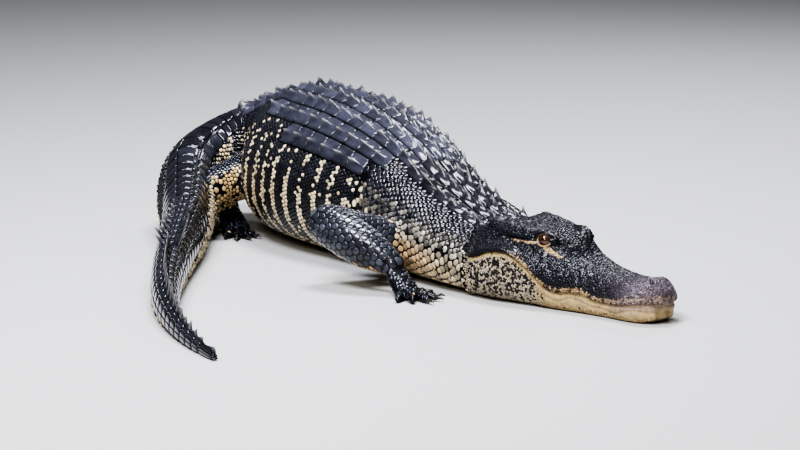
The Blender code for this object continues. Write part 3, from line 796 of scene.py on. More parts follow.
def body_markings(s, degrees):
    """Chance of a pale scale and its pale colour on the neck, trunk and tail."""
    around = np.abs(degrees)
    neck = 1 - ramp(0.60, 0.70, s)
    pale_neck = 0.97 * ramp(38, 90, around) - 0.35 * bump(s - 0.62, 0.05) * bump(
        around - 66, 22)
    row = np.clip(np.searchsorted(ROWS, s, "right") - 1, 0, len(ROWS) - 2)
    phase = (s - ROWS[row]) / (ROWS[row + 1] - ROWS[row])
    stripe = (phase > 0.32) & (phase < 0.68)
    flank = 0.03 + 0.03 * ramp(80, 100, around) + stripe * (
        0.90 * ramp(76, 88, around)
        + 0.42 * ramp(44, 60, around) * (1 - ramp(76, 88, around)))
    flank = np.maximum(flank, 0.95 * ramp(132, 144, around))
    pale = flank * (1 - neck) + pale_neck * neck
    tail = ramp(1.26, 1.30, s)
    fringe = np.where(degrees < 0, np.interp(s, [1.26, 1.50, 1.80], [38, 50, 87]), 87)
    pale = pale * (1 - tail) + tail * 0.92 * ramp(0, 9, around - fringe) * (
        1 - 0.55 * ramp(1.7, 2.5, s))
    light = mix(np.tile(CREAM, (len(s), 1)), NECK_PALE,
                neck * (1 - ramp(70, 105, around)))
    light = mix(light, ORANGE, 0.75 * bump(s - 0.56, 0.10) * ramp(76, 98, around)
                * (1 - 0.6 * ramp(130, 150, around)))
    return pale, light


def limb_markings(points, normals):
    """Chance of a pale scale on a limb: under the fore ones, inside the hind ones."""
    fore = 0.85 * ramp(-0.55, -0.90, normals[:, 2]) * ramp(0.020, 0.034, points[:, 2])
    turned_up = np.where(points[:, 1] < 0, 0.70, 0.10)
    hind = 0.88 * ramp(0.15, -0.15, normals[:, 2] - turned_up) * ramp(0.045, 0.065,
                                                                      points[:, 2])
    return np.where(points[:, 0] > 0, fore, hind)


def head_markings(points, head, hs, ho, hu):
    """Chance of a pale scale, pale colour and dark colour on the head."""
    count = len(points)
    from_mouth = hu - mouth(hs)
    upper = ramp(-0.001, 0.001, from_mouth)
    lip = 1 - ramp(0.007, 0.014 + 0.010 * (1 - ramp(0.03, 0.10, hs)), from_mouth)
    lip = lip * (1 - ramp(0.255, 0.300, hs))
    jowl = ramp(0.222, 0.250, hs) * ramp(0.004, 0.010, -from_mouth)
    patchy = np.zeros(count)
    near_jaw = np.flatnonzero((head > 0) & (from_mouth < 0.002))
    patchy[near_jaw] = ramp(-0.16, 0.22, rough(points[near_jaw], 0.0062, 11.0))
    pale = upper * 0.66 * lip + (1 - upper) * (0.97 - jowl * (
        0.25 + 0.66 * patchy) * (1 - 0.6 * ramp(0.030, 0.012, hu)))
    light = mix(mix(np.tile(JAW_CREAM, (count, 1)), TAN, 0.75 * upper), JOWL_PALE,
                0.85 * jowl)
    at_tip = 1 - ramp(0.06, 0.12, hs)
    light = mix(light, LILAC, 0.65 * upper * at_tip)
    mottle = at_tip * bump(from_mouth + 0.004, 0.006)
    light = mix(light, LILAC, 0.5 * (1 - upper) * mottle)
    dark = mix(np.tile(HEAD_GREY, (count, 1)), NOSE_GREY,
               bump(np.hypot((hs - 0.010) / 1.25, (hu - 0.050) / 1.1), 0.048))
    beside_eye = np.stack([hs, np.abs(ho), hu], 1)
    patch, patch_t = segment_distance(beside_eye, *EYE_PATCH)
    streak, streak_t = segment_distance(beside_eye, *EYE_STREAK)
    round_eye = np.maximum(1 - ramp(0.0050, 0.0062, patch + 0.0022 * patch_t),
                           1 - ramp(0.0018, 0.0030, streak + 0.0010 * streak_t))
    pale = np.maximum(pale, round_eye * (hs > 0.2))
    return pale, mix(light, EYE_CREAM, round_eye), dark


def markings(points, normals):
    """Chance of a pale scale, pale colour and dark colour at each point."""
    s, degrees, lift = locate(points)
    hs, ho, hu = head_frame(points)
    pale, light = body_markings(s, degrees)
    dark = np.tile(BLACK, (len(points), 1))

    near_head = (hs < 0.42) & (np.abs(ho) < 0.13)
    on_limb = (ramp(0.006, 0.001, gap_to_limb(points)) * ramp(0.002, 0.010, lift)
               * ~near_head)
    pale = pale * (1 - on_limb) + on_limb * limb_markings(points, normals)
    dark = mix(dark, LIMB_BLACK, on_limb)
    # The forearm above the floor is painted a lighter blue-grey: partly its own grey, partly
    # a painted sky reflection.
    dark = mix(dark, FOREARM_GREY_SHEEN, on_limb * (points[:, 0] > 0.1)
               * ramp(0.020, 0.050, points[:, 2]))
    light = mix(light, THIGH_GOLD, 0.85 * on_limb)

    head = (1 - ramp(0.372, NECK_FROM, hs)) * (np.abs(ho) < HEAD_HALF_WIDTH)
    head_pale, head_light, head_dark = head_markings(points, head, hs, ho, hu)
    pale = pale * (1 - head) + head_pale * head
    light = light * (1 - head[:, None]) + head_light * head[:, None]
    dark = dark * (1 - head[:, None]) + head_dark * head[:, None]
    return np.clip(pale, 0, 1), light, dark


def paint(mesh, colours):
    """Store a colour at every point of a mesh for its material to read."""
    layer = mesh.color_attributes.new(name="markings", type="FLOAT_COLOR",
                                      domain="POINT")
    rgba = np.concatenate([colours, np.ones((len(colours), 1))], axis=1)
    layer.data.foreach_set("color", rgba.astype(np.float32).ravel())


pale, light, dark = markings(skin_points, skin_normals)
hs, ho, hu = head_frame(skin_points)
s, degrees, lift = locate(skin_points)
on_head = (hs < HEAD_END) & (np.abs(ho) < HEAD_HALF_WIDTH)
soft_under = np.maximum(ramp(132, 146, np.abs(degrees)), 0.8 * ramp(1.26, 1.30, s)
                        * ramp(72, 90, np.abs(degrees))) * (lift < 0.006)
# The skin between the scales is painted darker, a painted shade in the grooves: 0.30 of its
# colour on the body, up to 0.75 under the belly and the tail, 0.90 on the head.
groove_shade = np.where(on_head, 0.90, 0.30 + 0.45 * soft_under)
share = np.where(on_head, 0.85, 0.80 * soft_under)
skin_colour = mix(dark, light, pale * share) * groove_shade[:, None]
head_place = np.stack([hs, np.abs(ho), hu], 1)
slit_gap = segment_distance(head_place, *EAR_SLIT)[0]
nostril_gap = segment_distance(head_place[:, :2], *NOSTRIL)[0]
# The ear slits and the nostrils are painted nearly black, a painted shade inside these
# openings.
hole_shade = np.maximum(bump(slit_gap, 0.0022), bump(nostril_gap, 0.0030) * (hu > 0.04))
skin_colour *= (1 - 0.92 * hole_shade)[:, None]
smooth_jaw = np.flatnonzero((hs < 0.235) & (np.abs(ho) < HEAD_HALF_WIDTH)
                            & (hu < mouth(hs)))
specks = rough(skin_points[smooth_jaw], 0.0042, 5.0) + 0.7 * rough(
    skin_points[smooth_jaw], 0.011, 9.0)
skin_colour[smooth_jaw] *= (1 - 0.30 * ramp(0.10, 0.50, specks))[:, None]
paint(hide.data, skin_colour)
print("pale share of the skin:", round(float(pale.mean()), 2))

# %% [markdown]
# ## Small scales
# Away from the back, an alligator's hide is a mosaic of low rounded scales that fill
# all the room between them, in rows on the neck, flanks and legs and at random in
# the armpits and on the jaw.  So a root is set for each scale, and each scale then
# takes the share of skin that lies nearer to its root than to any other.  That share
# is found as a reach in six to ten directions, which gives rounded outlines.


# %% Set roots in rows on the neck, flanks and belly
def arc_angles(s, first, last, pitch, shift):
    """Angles between two angles, a pitch apart along the skin."""
    fine = np.arange(first, last + 0.5, 1.0)
    line = body_surface(np.full(len(fine), s), fine)
    run = np.concatenate([[0], np.cumsum(np.linalg.norm(np.diff(line, axis=0),
                                                        axis=1))])
    wanted = (np.arange(int(run[-1] / pitch)) + 0.3 + 0.5 * shift) * pitch
    return np.interp(wanted[wanted < run[-1]], run, fine)


PLATE_BORDERS = [0, 14, 28, 43, 58]
NAPE_BORDERS = [0, 16, 33]
NAPE_ROWS = (0.415, 0.598)
TRUNK_ROWS = (0.598, 1.262)
row_middle = (ROWS[1:] + ROWS[:-1]) / 2
wanted_edge = np.interp(row_middle, [0.60, 0.64, 0.70, 0.80, 0.92, 1.02, 1.12, 1.25],
                        [30, 43, 59, 59, 56, 45, 36, 32])
ROW_EDGE = np.array([max(b for b in PLATE_BORDERS if b <= wanted + 3)
                     for wanted in wanted_edge], float)
ROW_EDGE[ROWS[:-1] < TRUNK_ROWS[0]] = 0
ROW_EDGE[(ROWS[:-1] > NAPE_ROWS[0]) & (ROWS[:-1] < NAPE_ROWS[1])] = NAPE_BORDERS[-1]
on_tail = ROWS[:-1] >= TRUNK_ROWS[1]
ROW_EDGE[on_tail] = np.interp(row_middle[on_tail], [1.26, 1.45, 1.60, 1.80, 2.10, 2.60],
                              [42, 46, 66, 92, 106, 116])


def shield_edge(s):
    """Angle down to which the big plates of the back and tail reach, at s."""
    return ROW_EDGE[np.clip(np.searchsorted(ROWS, s, "right") - 1, 0, len(ROWS) - 2)]


roots = []


def add_roots(points, kind, rise, pitch, stretch):
    """Note a root of one kind at each point."""
    for point in points:
        roots.append((point, kind, rise, pitch, stretch))


def sow_body(kind, s_values, first, last, pitch, rise, stretch):
    """Roots on both sides, between two angles, at each s and clear of the plates."""
    for number, s in enumerate(s_values):
        low = max(float(shield_edge(s)) + 1.5, first)
        for side in (-1, 1):
            angles = arc_angles(s, low, last, pitch, number % 2)
            count = len(angles)
            wander = chance.normal(0, 0.10 * pitch, count)
            add_roots(body_surface(s + wander, side * angles), kind, rise, pitch,
                      stretch)


upper_neck_s = np.arange(NECK_FROM, NECK_END, 0.0068)
sow_body("neck", upper_neck_s, 0, 80, 0.0104, 0.0019, 0.66)
throat_s = np.arange(NECK_FROM, NECK_END, 0.0100)
sow_body("neck", throat_s, 82, 150, 0.0138, 0.0020, 0.74)
flank_s = np.concatenate([start + (end - start) * (np.arange(6) + 0.5) / 6
                          for start, end in zip(ROWS, ROWS[1:])
                          if NECK_END <= start < TRUNK_ROWS[1]])
sow_body("flank", flank_s, 0, 136, 0.0072, 0.0013, 1.0)
belly_s = np.arange(NECK_END, 2.56, 0.0185)
sow_body("belly", belly_s, 138, 180, 0.0150, 0.0009, 1.2)
neck_belly_s = np.arange(0.40, NECK_END, 0.0150)
sow_body("belly", neck_belly_s, 151, 180, 0.0150, 0.0009, 1.0)
fringe_s = np.arange(TRUNK_ROWS[1] + 0.004, 2.55, 0.0098)
sow_body("fringe", fringe_s, 38, 137, 0.0078, 0.0024, 1.45)
print("roots in rows:", len(roots))


# %% Set roots in rows round the limbs
def sow_limb(kind, start, end, first, last, pitch, rise, stretch):
    """Roots in rings round a limb that narrows from its first radius to its last."""
    start, end = Vector(start), Vector(end)
    along = (end - start).normalized()
    length = (end - start).length
    for number, t in enumerate(np.arange(0.0, length, pitch * 0.88) / length):
        radius = first + (last - first) * t
        count = max(6, round(2 * math.pi * radius / pitch))
        angles = (np.arange(count) + 0.5 * (number % 2)) * 2 * math.pi / count
        add_roots(ring_round(start.lerp(end, t), along, radius, angles), kind, rise,
                  pitch, stretch)


for key, points in LIMBS.items():
    kind = key.split("_")[0]
    upper, lower = LIMB_RADII[kind]
    pitch, rise, stretch = (0.0128, 0.0011, 1.15) if kind == "fore" else (0.0078,
                                                                          0.0016, 1.0)
    sow_limb("limbs", points[0], points[1], upper[0], upper[1], pitch, rise, stretch)
    sow_limb("limbs", points[1], points[2], lower[1], lower[-1], pitch, rise, stretch)
print("roots with the limbs:", len(roots))

# %% Drop roots that miss the skin, and sow the bare places
root_points = np.array([root[0] for root in roots])
root_kind = np.array([root[1] for root in roots])
root_size = np.array([root[2:] for root in roots], float)


def snap(points, reach=0.05):
    """Nearest places on the skin, their outward directions and how far they were."""
    found = [skin_tree.find_nearest(p, reach) for p in points.tolist()]
    places = np.array([f[0] if f[0] else (0, 0, 0) for f in found])
    ways = np.array([f[1] if f[1] else (0, 0, 1) for f in found])
    gaps = np.array([f[3] if f[3] is not None else 1.0 for f in found])
    return places, ways, gaps


places, ways, gaps = snap(root_points)
is_limb = root_kind == "limbs"
s, degrees, lift = locate(places)
keep = gaps < np.where(is_limb, 0.006, 0.0035)
keep &= ~(is_limb & (lift < 0.0035) & (s > 0.6))
root_points, root_kind, root_size = places[keep], root_kind[keep], root_size[keep]


LEAST_GAP = 0.66  # between two roots sown at random, as a share of their spacing


def tree_of(points):
    """Search tree over an array of points."""
    tree = KDTree(len(points))
    for number, point in enumerate(points.tolist()):
        tree.insert(point, number)
    tree.balance()
    return tree


def thin_out(points, spacing, taken):
    """Pick of points about a spacing apart and clear of the taken ones."""
    order = chance.permutation(len(points))
    cells = np.floor(points[order] / np.median(spacing)).astype(int)
    first = np.unique(cells, axis=0, return_index=True)[1]
    picked = order[np.sort(first)]
    tree = tree_of(np.concatenate([points[picked], taken]))
    gone = set()
    for number, point in enumerate(points[picked].tolist()):
        if number in gone:
            continue
        near = [n for c, n, d in tree.find_range(point, LEAST_GAP * spacing[picked[number]])]
        if max(near) >= len(picked):
            gone.add(number)
        else:
            gone.update(n for n in near if n > number)
    return np.array([p for n, p in enumerate(picked) if n not in gone], int)


def with_more(before, places, kinds, rise, spacing):
    """Points, kinds and sizes of the roots, with more of them at places."""
    size = np.stack([np.full(len(places), rise), spacing * 1.05, np.ones(len(places))],
                    1)
    return [np.concatenate(pair) for pair in zip(before, (places, kinds, size))]


s, degrees, lift = locate(skin_points)
hs, ho, hu = head_frame(skin_points)
head_zone = (hs < NECK_FROM) & (np.abs(ho) < HEAD_HALF_WIDTH)
limb_gap = gap_to_limb(skin_points)
limb_zone = (limb_gap < 0.004) & (lift > 0.002) & ~head_zone
under_plates = (np.abs(degrees) < shield_edge(s)) & (lift < 0.004) & ~limb_zone
from_mouth = hu - mouth(hs)
eye_gap = np.min([np.linalg.norm(skin_points - np.array(EYES[side]), axis=1)
                  for side in EYES], axis=0)
FILL_RISE = 0.0011
bare = ~under_plates & ~head_zone
spacing = np.select(
    [limb_zone & (skin_points[:, 2] < 0.044), limb_zone & (skin_points[:, 0] > 0),
     limb_zone, lift > 0.006, np.abs(degrees) > 138,
     (s < NECK_END) & (np.abs(degrees) > 80), s > TRUNK_ROWS[1]],
    [0.0062, 0.0160, 0.0080, 0.0080, 0.0220, 0.0160, 0.0084], 0.0104)
spare = np.flatnonzero(bare)
picked = spare[thin_out(skin_points[spare], spacing[spare], root_points)]
wrists = limb_gap[picked] < 0.004
root_points, root_kind, root_size = with_more(
    (root_points, root_kind, root_size), skin_points[picked],
    np.where(wrists, "feet", "flank"), FILL_RISE, spacing[picked])
print("roots off the head:", len(root_points))

# %% Set roots on the head
jaw_side = (from_mouth < 0.0) | ((from_mouth < 0.016) & (hs < 0.30))
head_spacing = np.where(jaw_side, 0.0035, 0.0052)
smooth_band = (from_mouth < 0) & (hs < 0.222) & (skin_points[:, 2] > 0.010)
open_place = head_zone & (eye_gap > 0.0205) & (np.abs(from_mouth) > 0.0018)
open_place &= (skin_points[:, 2] > 0.002) & ~smooth_band
open_place &= (slit_gap > 0.0030) & ((nostril_gap > 0.0052) | (hu < 0.04))
for chosen, kind, rise in ((jaw_side, "jaw", 0.0004), (~jaw_side, "brow", 0.00045)):
    spare = np.flatnonzero(open_place & chosen)
    picked = spare[thin_out(skin_points[spare], head_spacing[spare],
                            np.empty((0, 3)))]
    root_points, root_kind, root_size = with_more(
        (root_points, root_kind, root_size), skin_points[picked],
        np.full(len(picked), kind), rise, head_spacing[picked])
print("all roots:", len(root_points), {k: int((root_kind == k).sum())
                                       for k in np.unique(root_kind)})

# %% Find the neighbours of every root
NEIGHBOURS = 13
s, degrees, lift = locate(root_points)
turn = np.radians(heading(s))
root_places, root_ways, gaps = snap(root_points)
backs = -np.stack([np.cos(turn), np.sin(turn), np.zeros(len(turn))], 1)
nearest = np.full(len(root_points), 1.0)
on_limb = np.isin(root_kind, ("limbs", "feet"))
for start, end, first, last in limb_lines:
    away, t = segment_distance(root_points, start, end)
    closer = (away < nearest) & on_limb
    nearest = np.where(closer, away, nearest)
    backs[closer] = np.array((end - start).normalized())
backs = backs - root_ways * (backs * root_ways).sum(1, keepdims=True)
backs /= np.maximum(np.linalg.norm(backs, axis=1, keepdims=True), 1e-6)
sides = np.cross(root_ways, backs)

root_tree = tree_of(root_places)
near = np.array([[n for c, n, d in root_tree.find_n(p, NEIGHBOURS + 1)][1:]
                 for p in root_places.tolist()])
gap = root_places[near] - root_places[:, None, :]
stretch = np.sqrt(root_size[:, 2])[:, None]
gap_x = np.einsum("ijk,ik->ij", gap, backs) / stretch
gap_y = np.einsum("ijk,ik->ij", gap, sides) * stretch
half_gap = np.maximum(np.hypot(gap_x, gap_y), 1e-5) / 2
bearing = np.arctan2(gap_y, gap_x)
print("mean half gap to the nearest root:",
      round(float(half_gap.min(axis=1).mean()) * 1000, 1), "mm")


def outline(chosen, count, sharpness=13):
    """Reach of the chosen scales in count directions, backwards and sideways."""
    angles = (np.arange(count) + 0.5) * 2 * math.pi / count
    facing = np.maximum(np.cos(angles[None, None] - bearing[chosen][:, :, None]), 0)
    total = ((facing / half_gap[chosen][:, :, None]) ** sharpness).sum(axis=1)
    total += (1 / (0.72 * root_size[chosen, 1, None])) ** sharpness
    reach = total ** (-1 / sharpness)
    root = stretch[chosen]
    return reach * np.cos(angles) * root, reach * np.sin(angles) / root


# %% Unwrap onto a flat map
# Each scale gets a small patch of the map at its root's place on an unrolled hide.
PATCH = 0.0015


def unrolled(points):
    """Place on the map of the unrolled hide: trunk below, the limbs side by side."""
    s, degrees, lift = locate(points)
    flat = np.stack([0.01 + 0.98 * s / LENGTH, 0.35 + 0.30 * degrees / 180], 1)
    best = np.full(len(points), 0.012)
    for number, (start, end, first, last) in enumerate(limb_lines):
        away, t = segment_distance(points, start, end)
        gap = away - (first + (last - first) * t)
        closer = (gap < best) & (lift > 0.004) & (gap < 0.004)
        best = np.where(closer, gap, best)
        axis = (end - start).normalized()
        across = np.array(axis.cross(Vector((0, 0, 1))).normalized())
        upward = np.cross(across, np.array(axis))
        ray = points - np.array(start)
        angle = np.arctan2(ray @ upward, ray @ across)
        column, row = number % 20, number // 20
        flat[closer, 0] = (0.01 + 0.049 * column + 0.044 * t)[closer]
        flat[closer, 1] = (0.74 + 0.12 * row + 0.05 * angle / math.pi)[closer]
    return flat


# %% Join many small forms into one mesh
def lay_map(mesh, name, flat):
    """Store a place on a flat map for every vertex of a mesh."""
    layer = mesh.uv_layers.new(name=name)
    index = np.empty(len(mesh.loops), np.int32)
    mesh.loops.foreach_get("vertex_index", index)
    layer.data.foreach_set("uv", flat[index].astype(np.float32).ravel())


def joined_mesh(name, points, faces, colours, flat, looks):
    """Mesh object with its markings, its flat map named OFBake and its material."""
    mesh = bpy.data.meshes.new(name)
    mesh.from_pydata(points.tolist(), [], faces)
    mesh.polygons.foreach_set("use_smooth", [True] * len(mesh.polygons))
    paint(mesh, colours)
    lay_map(mesh, "OFBake", flat)
    mesh.materials.append(looks)
    piece = bpy.data.objects.new(name, mesh)
    bpy.context.collection.objects.link(piece)
    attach(piece, "root")
    print(name, sum(len(f) - 2 for f in faces), "triangles")
    return piece


# %% Build low scales from their outlines
def build_scales(name, chosen, looks, count, keel, layers, dark_rim, shrink):
    """Low scales, closed underneath, higher towards the back by keel."""
    centre, way = root_places[chosen], root_ways[chosen]
    back, side = backs[chosen], sides[chosen]
    x, y = outline(chosen, count)
    total = len(chosen)
    rise = root_size[chosen, 0] * np.exp(chance.normal(0, 0.15, total))
    pale, light, dark = markings(centre, way)
    luck = chance.random(total)
    luck = np.where(root_kind[chosen] == "brow", 0.5, luck)
    is_pale = luck < pale
    bright = np.exp(chance.normal(0, 0.28, total))
    bright = np.where(is_pale, np.clip(bright, 0.62, 1.2), bright)
    colour = np.where(is_pale[:, None], light, dark) * bright[:, None]
    blend = np.clip(pale + chance.normal(0, 0.20, total), 0, 1) ** 2.0
    on_neck = root_kind[chosen] == "neck"
    colour[on_neck] = (mix(1.3 * dark, light, blend) * bright[:, None])[on_neck]
    # Painted shade between the scales: each scale's rim is painted darker, and its sunk foot
    # at half the rim's colour; on a pale scale the rim takes its dark colour, partly a dark
    # outline and partly painted shade.
    rim_shade_colour = colour * 0.42 * (1 - dark_rim) + np.where(
        is_pale[:, None], dark * 1.1, colour * 0.6) * dark_rim

    rim = (centre[:, None] + shrink * (x[:, :, None] * back[:, None]
                                       + y[:, :, None] * side[:, None]))
    rim, rim_ways, gaps = snap(rim.reshape(-1, 3))
    rim = rim.reshape(total, count, 3)
    rim_ways = rim_ways.reshape(total, count, 3)
    longest = np.maximum(x.max(axis=1), 1e-6)[:, None]
    lean = np.clip(1 + keel * x / longest, 0.15, None)
    middle = centre[:, None]
    rings = [rim - 0.0011 * way[:, None], rim + (0.40 * rise)[:, None, None] * rim_ways]
    tints = [rim_shade_colour * 0.5, rim_shade_colour]
    shift = (0.16 * keel * longest)[:, :, None] * back[:, None]
    for inner, high in ((0.84, 0.93), (0.62, 1.03))[:layers - 1]:
        rings.append(middle + (rim - middle) * inner + shift
                     + (rise[:, None] * high * lean)[:, :, None] * way[:, None])
        tints.append(colour * 0.95)
    peak = (centre + way * (rise * (1.05 + 0.55 * keel))[:, None]
            + back * (0.30 * keel * longest))
    points = np.concatenate(rings + [peak[:, None]], axis=1)
    points[:, :, 2] = np.maximum(points[:, :, 2], 0.0)
    # The crown of each scale is painted a tenth lighter, a painted highlight.
    tint = np.concatenate([np.repeat(c[:, None], count, axis=1) for c in tints]
                          + [colour[:, None] * 1.10], axis=1)

    size = len(rings) * count + 1
    base = np.arange(total)[:, None] * size
    k = np.arange(count)
    n = (k + 1) % count
    faces = []
    for low in range(0, (len(rings) - 1) * count, count):
        quads = np.stack([low + k, low + n, low + count + n, low + count + k], 1)
        faces += (base[:, :, None] + quads[None]).reshape(-1, 4).tolist()
    last = (len(rings) - 1) * count
    caps = np.stack([last + k, last + n, np.full(count, size - 1)], 1)
    faces += (base[:, :, None] + caps[None]).reshape(-1, 3).tolist()
    faces += (base + k[::-1][None]).tolist()

    widest = np.maximum(np.hypot(x, y).max(axis=1), 1e-6)[:, None]
    local = np.zeros((total, size, 2))
    for number in range(len(rings)):
        part = slice(number * count, (number + 1) * count)
        share = (1.0, 0.9, 0.70, 0.5)[number] * PATCH
        local[:, part, 0] = x / widest * share
        local[:, part, 1] = y / widest * share
    flat = (unrolled(centre)[:, None] + local).reshape(-1, 2)
    return joined_mesh(name, points.reshape(-1, 3), faces, tint.reshape(-1, 3), flat,
                       looks)


# %% [markdown]
# ## Looks of the hide
# Wet hide is a dark rough leather under a thin clear film of water.  The base is
# fairly rough, with fine wrinkles and pits as a bump, and the film is the shader's
# coat, smooth enough to mirror the soft panels as small bright glints.

# %% Make the wet hide materials
def wet_look(name, roughness, coat, film, grain, depth):
    """Hide that reads its markings, with wrinkles grain metres across, under a film."""
    made, shader = new_look(name)
    tree, join = made.node_tree, made.node_tree.links.new
    colour = add_node(tree, "Attribute")
    colour.attribute_name = "markings"
    where = add_node(tree, "TexCoord").outputs["Object"]
    blotch = add_node(tree, "TexNoise", where, Scale=1 / (grain * 5),
                      Detail=3).outputs["Fac"]
    shade = add_node(tree, "MapRange", blotch, From_Min=0.3, From_Max=0.7, To_Min=0.70,
                     To_Max=1.25)
    tinted = add_math(tree, "SCALE", colour.outputs["Color"])
    join(shade.outputs["Result"], tinted.inputs["Scale"])
    join(tinted.outputs["Vector"], shader.inputs["Base Color"])
    gloss = add_node(tree, "MapRange", blotch, From_Min=0.35, From_Max=0.65,
                     To_Min=roughness - 0.08, To_Max=roughness + 0.12)
    join(gloss.outputs["Result"], shader.inputs["Roughness"])
    wrinkle = add_node(tree, "TexNoise", where, Scale=1 / grain, Detail=4,
                       Roughness=0.62)
    relief = add_node(tree, "Bump", wrinkle.outputs["Fac"], "Height", Strength=0.8,
                      Distance=depth)
    join(relief.outputs["Normal"], shader.inputs["Normal"])
    fill_in(shader, Coat_Weight=coat, Coat_Roughness=film, Coat_IOR=1.45,
            Specular_IOR_Level=0.06)
    return made


wet_skin = wet_look("wet_skin", 0.48, 0.4, 0.14, 0.0045, 0.0008)
wet_head = wet_look("wet_head", 0.60, 0.42, 0.07, 0.0085, 0.0022)
wet_scale = wet_look("wet_scale", 0.38, 0.9, 0.07, 0.0035, 0.0004)
wet_plate = wet_look("wet_plate", 0.42, 0.6, 0.14, 0.0042, 0.0021)
wet_smooth = wet_look("wet_smooth", 0.36, 1.0, 0.06, 0.0060, 0.0004)
hide.data.materials.clear()
hide.data.materials.append(wet_skin)
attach(hide, "root")
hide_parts(*[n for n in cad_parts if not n.startswith(("eye", "claw"))])

# %% Cover the hide with small scales
is_right = degrees < 0
everywhere = np.ones(len(root_kind), bool)
COVER = [  # name, kind of root, which side, look, directions, keel, layers, rim, shrink
    ("neck_scales", "neck", everywhere, wet_scale, 10, 0.45, 2, 1.0, 0.925),
    ("flank_scales_right", "flank", is_right, wet_scale, 7, 0.40, 2, 1.0, 0.965),
    ("flank_scales_left", "flank", ~is_right, wet_scale, 7, 0.40, 2, 1.0, 0.965),
    ("belly_scales", "belly", everywhere, wet_scale, 8, 0.10, 2, 0.3, 0.965),
    ("fringe_scales_right", "fringe", is_right, wet_scale, 8, 1.1, 2, 1.0, 0.965),
    ("fringe_scales_left", "fringe", ~is_right, wet_scale, 8, 1.1, 2, 1.0, 0.965),
    ("limb_scales", "limbs", everywhere, wet_smooth, 8, 0.15, 3, 1.0, 0.965),
    ("foot_scales", "feet", everywhere, wet_scale, 7, 0.20, 2, 0.8, 0.965),
    ("jaw_scales", "jaw", everywhere, wet_head, 6, 0.0, 1, 0.12, 1.0),
    ("head_scales", "brow", everywhere, wet_head, 7, 0.0, 2, 0.3, 0.985),
]
for name, kind, on_side, *shape in COVER:
    piece = build_scales(name, np.flatnonzero((root_kind == kind) & on_side), *shape)

# %% [markdown]
# ## Plates of the back and the tail
# Over each row of the back lie bony plates with a keel that rises towards the tail
# and ends in a sharp edge, pale along its crest, partly from wear and partly as a
# painted highlight.  Behind the skull a cluster of them stands up in tall hooks.  The
# tail begins in close rings of smooth square plates, and further back two crests of
# thin blades rise on it and join into one.
# Each plate is a small grid laid on the body's own surface and raised by a formula.

# %% Build plates on the body's surface
# Pale colour of the keel crests: partly wear, partly a painted highlight on the sharp edge.
WEAR_AND_GLINT_EDGE = np.array((0.26, 0.25, 0.235))
KEELED = ([-1, -0.92, -0.70, -0.42, -0.16, 0.08, 0.28, 0.46, 0.60, 0.72, 0.84, 0.94, 1],
          [-1, -0.90, -0.64, -0.38, -0.19, -0.08, 0, 0.08, 0.19, 0.38, 0.64, 0.90, 1])
SMOOTH = ([-1, -0.92, -0.68, -0.24, 0.24, 0.68, 0.92, 1],) * 2


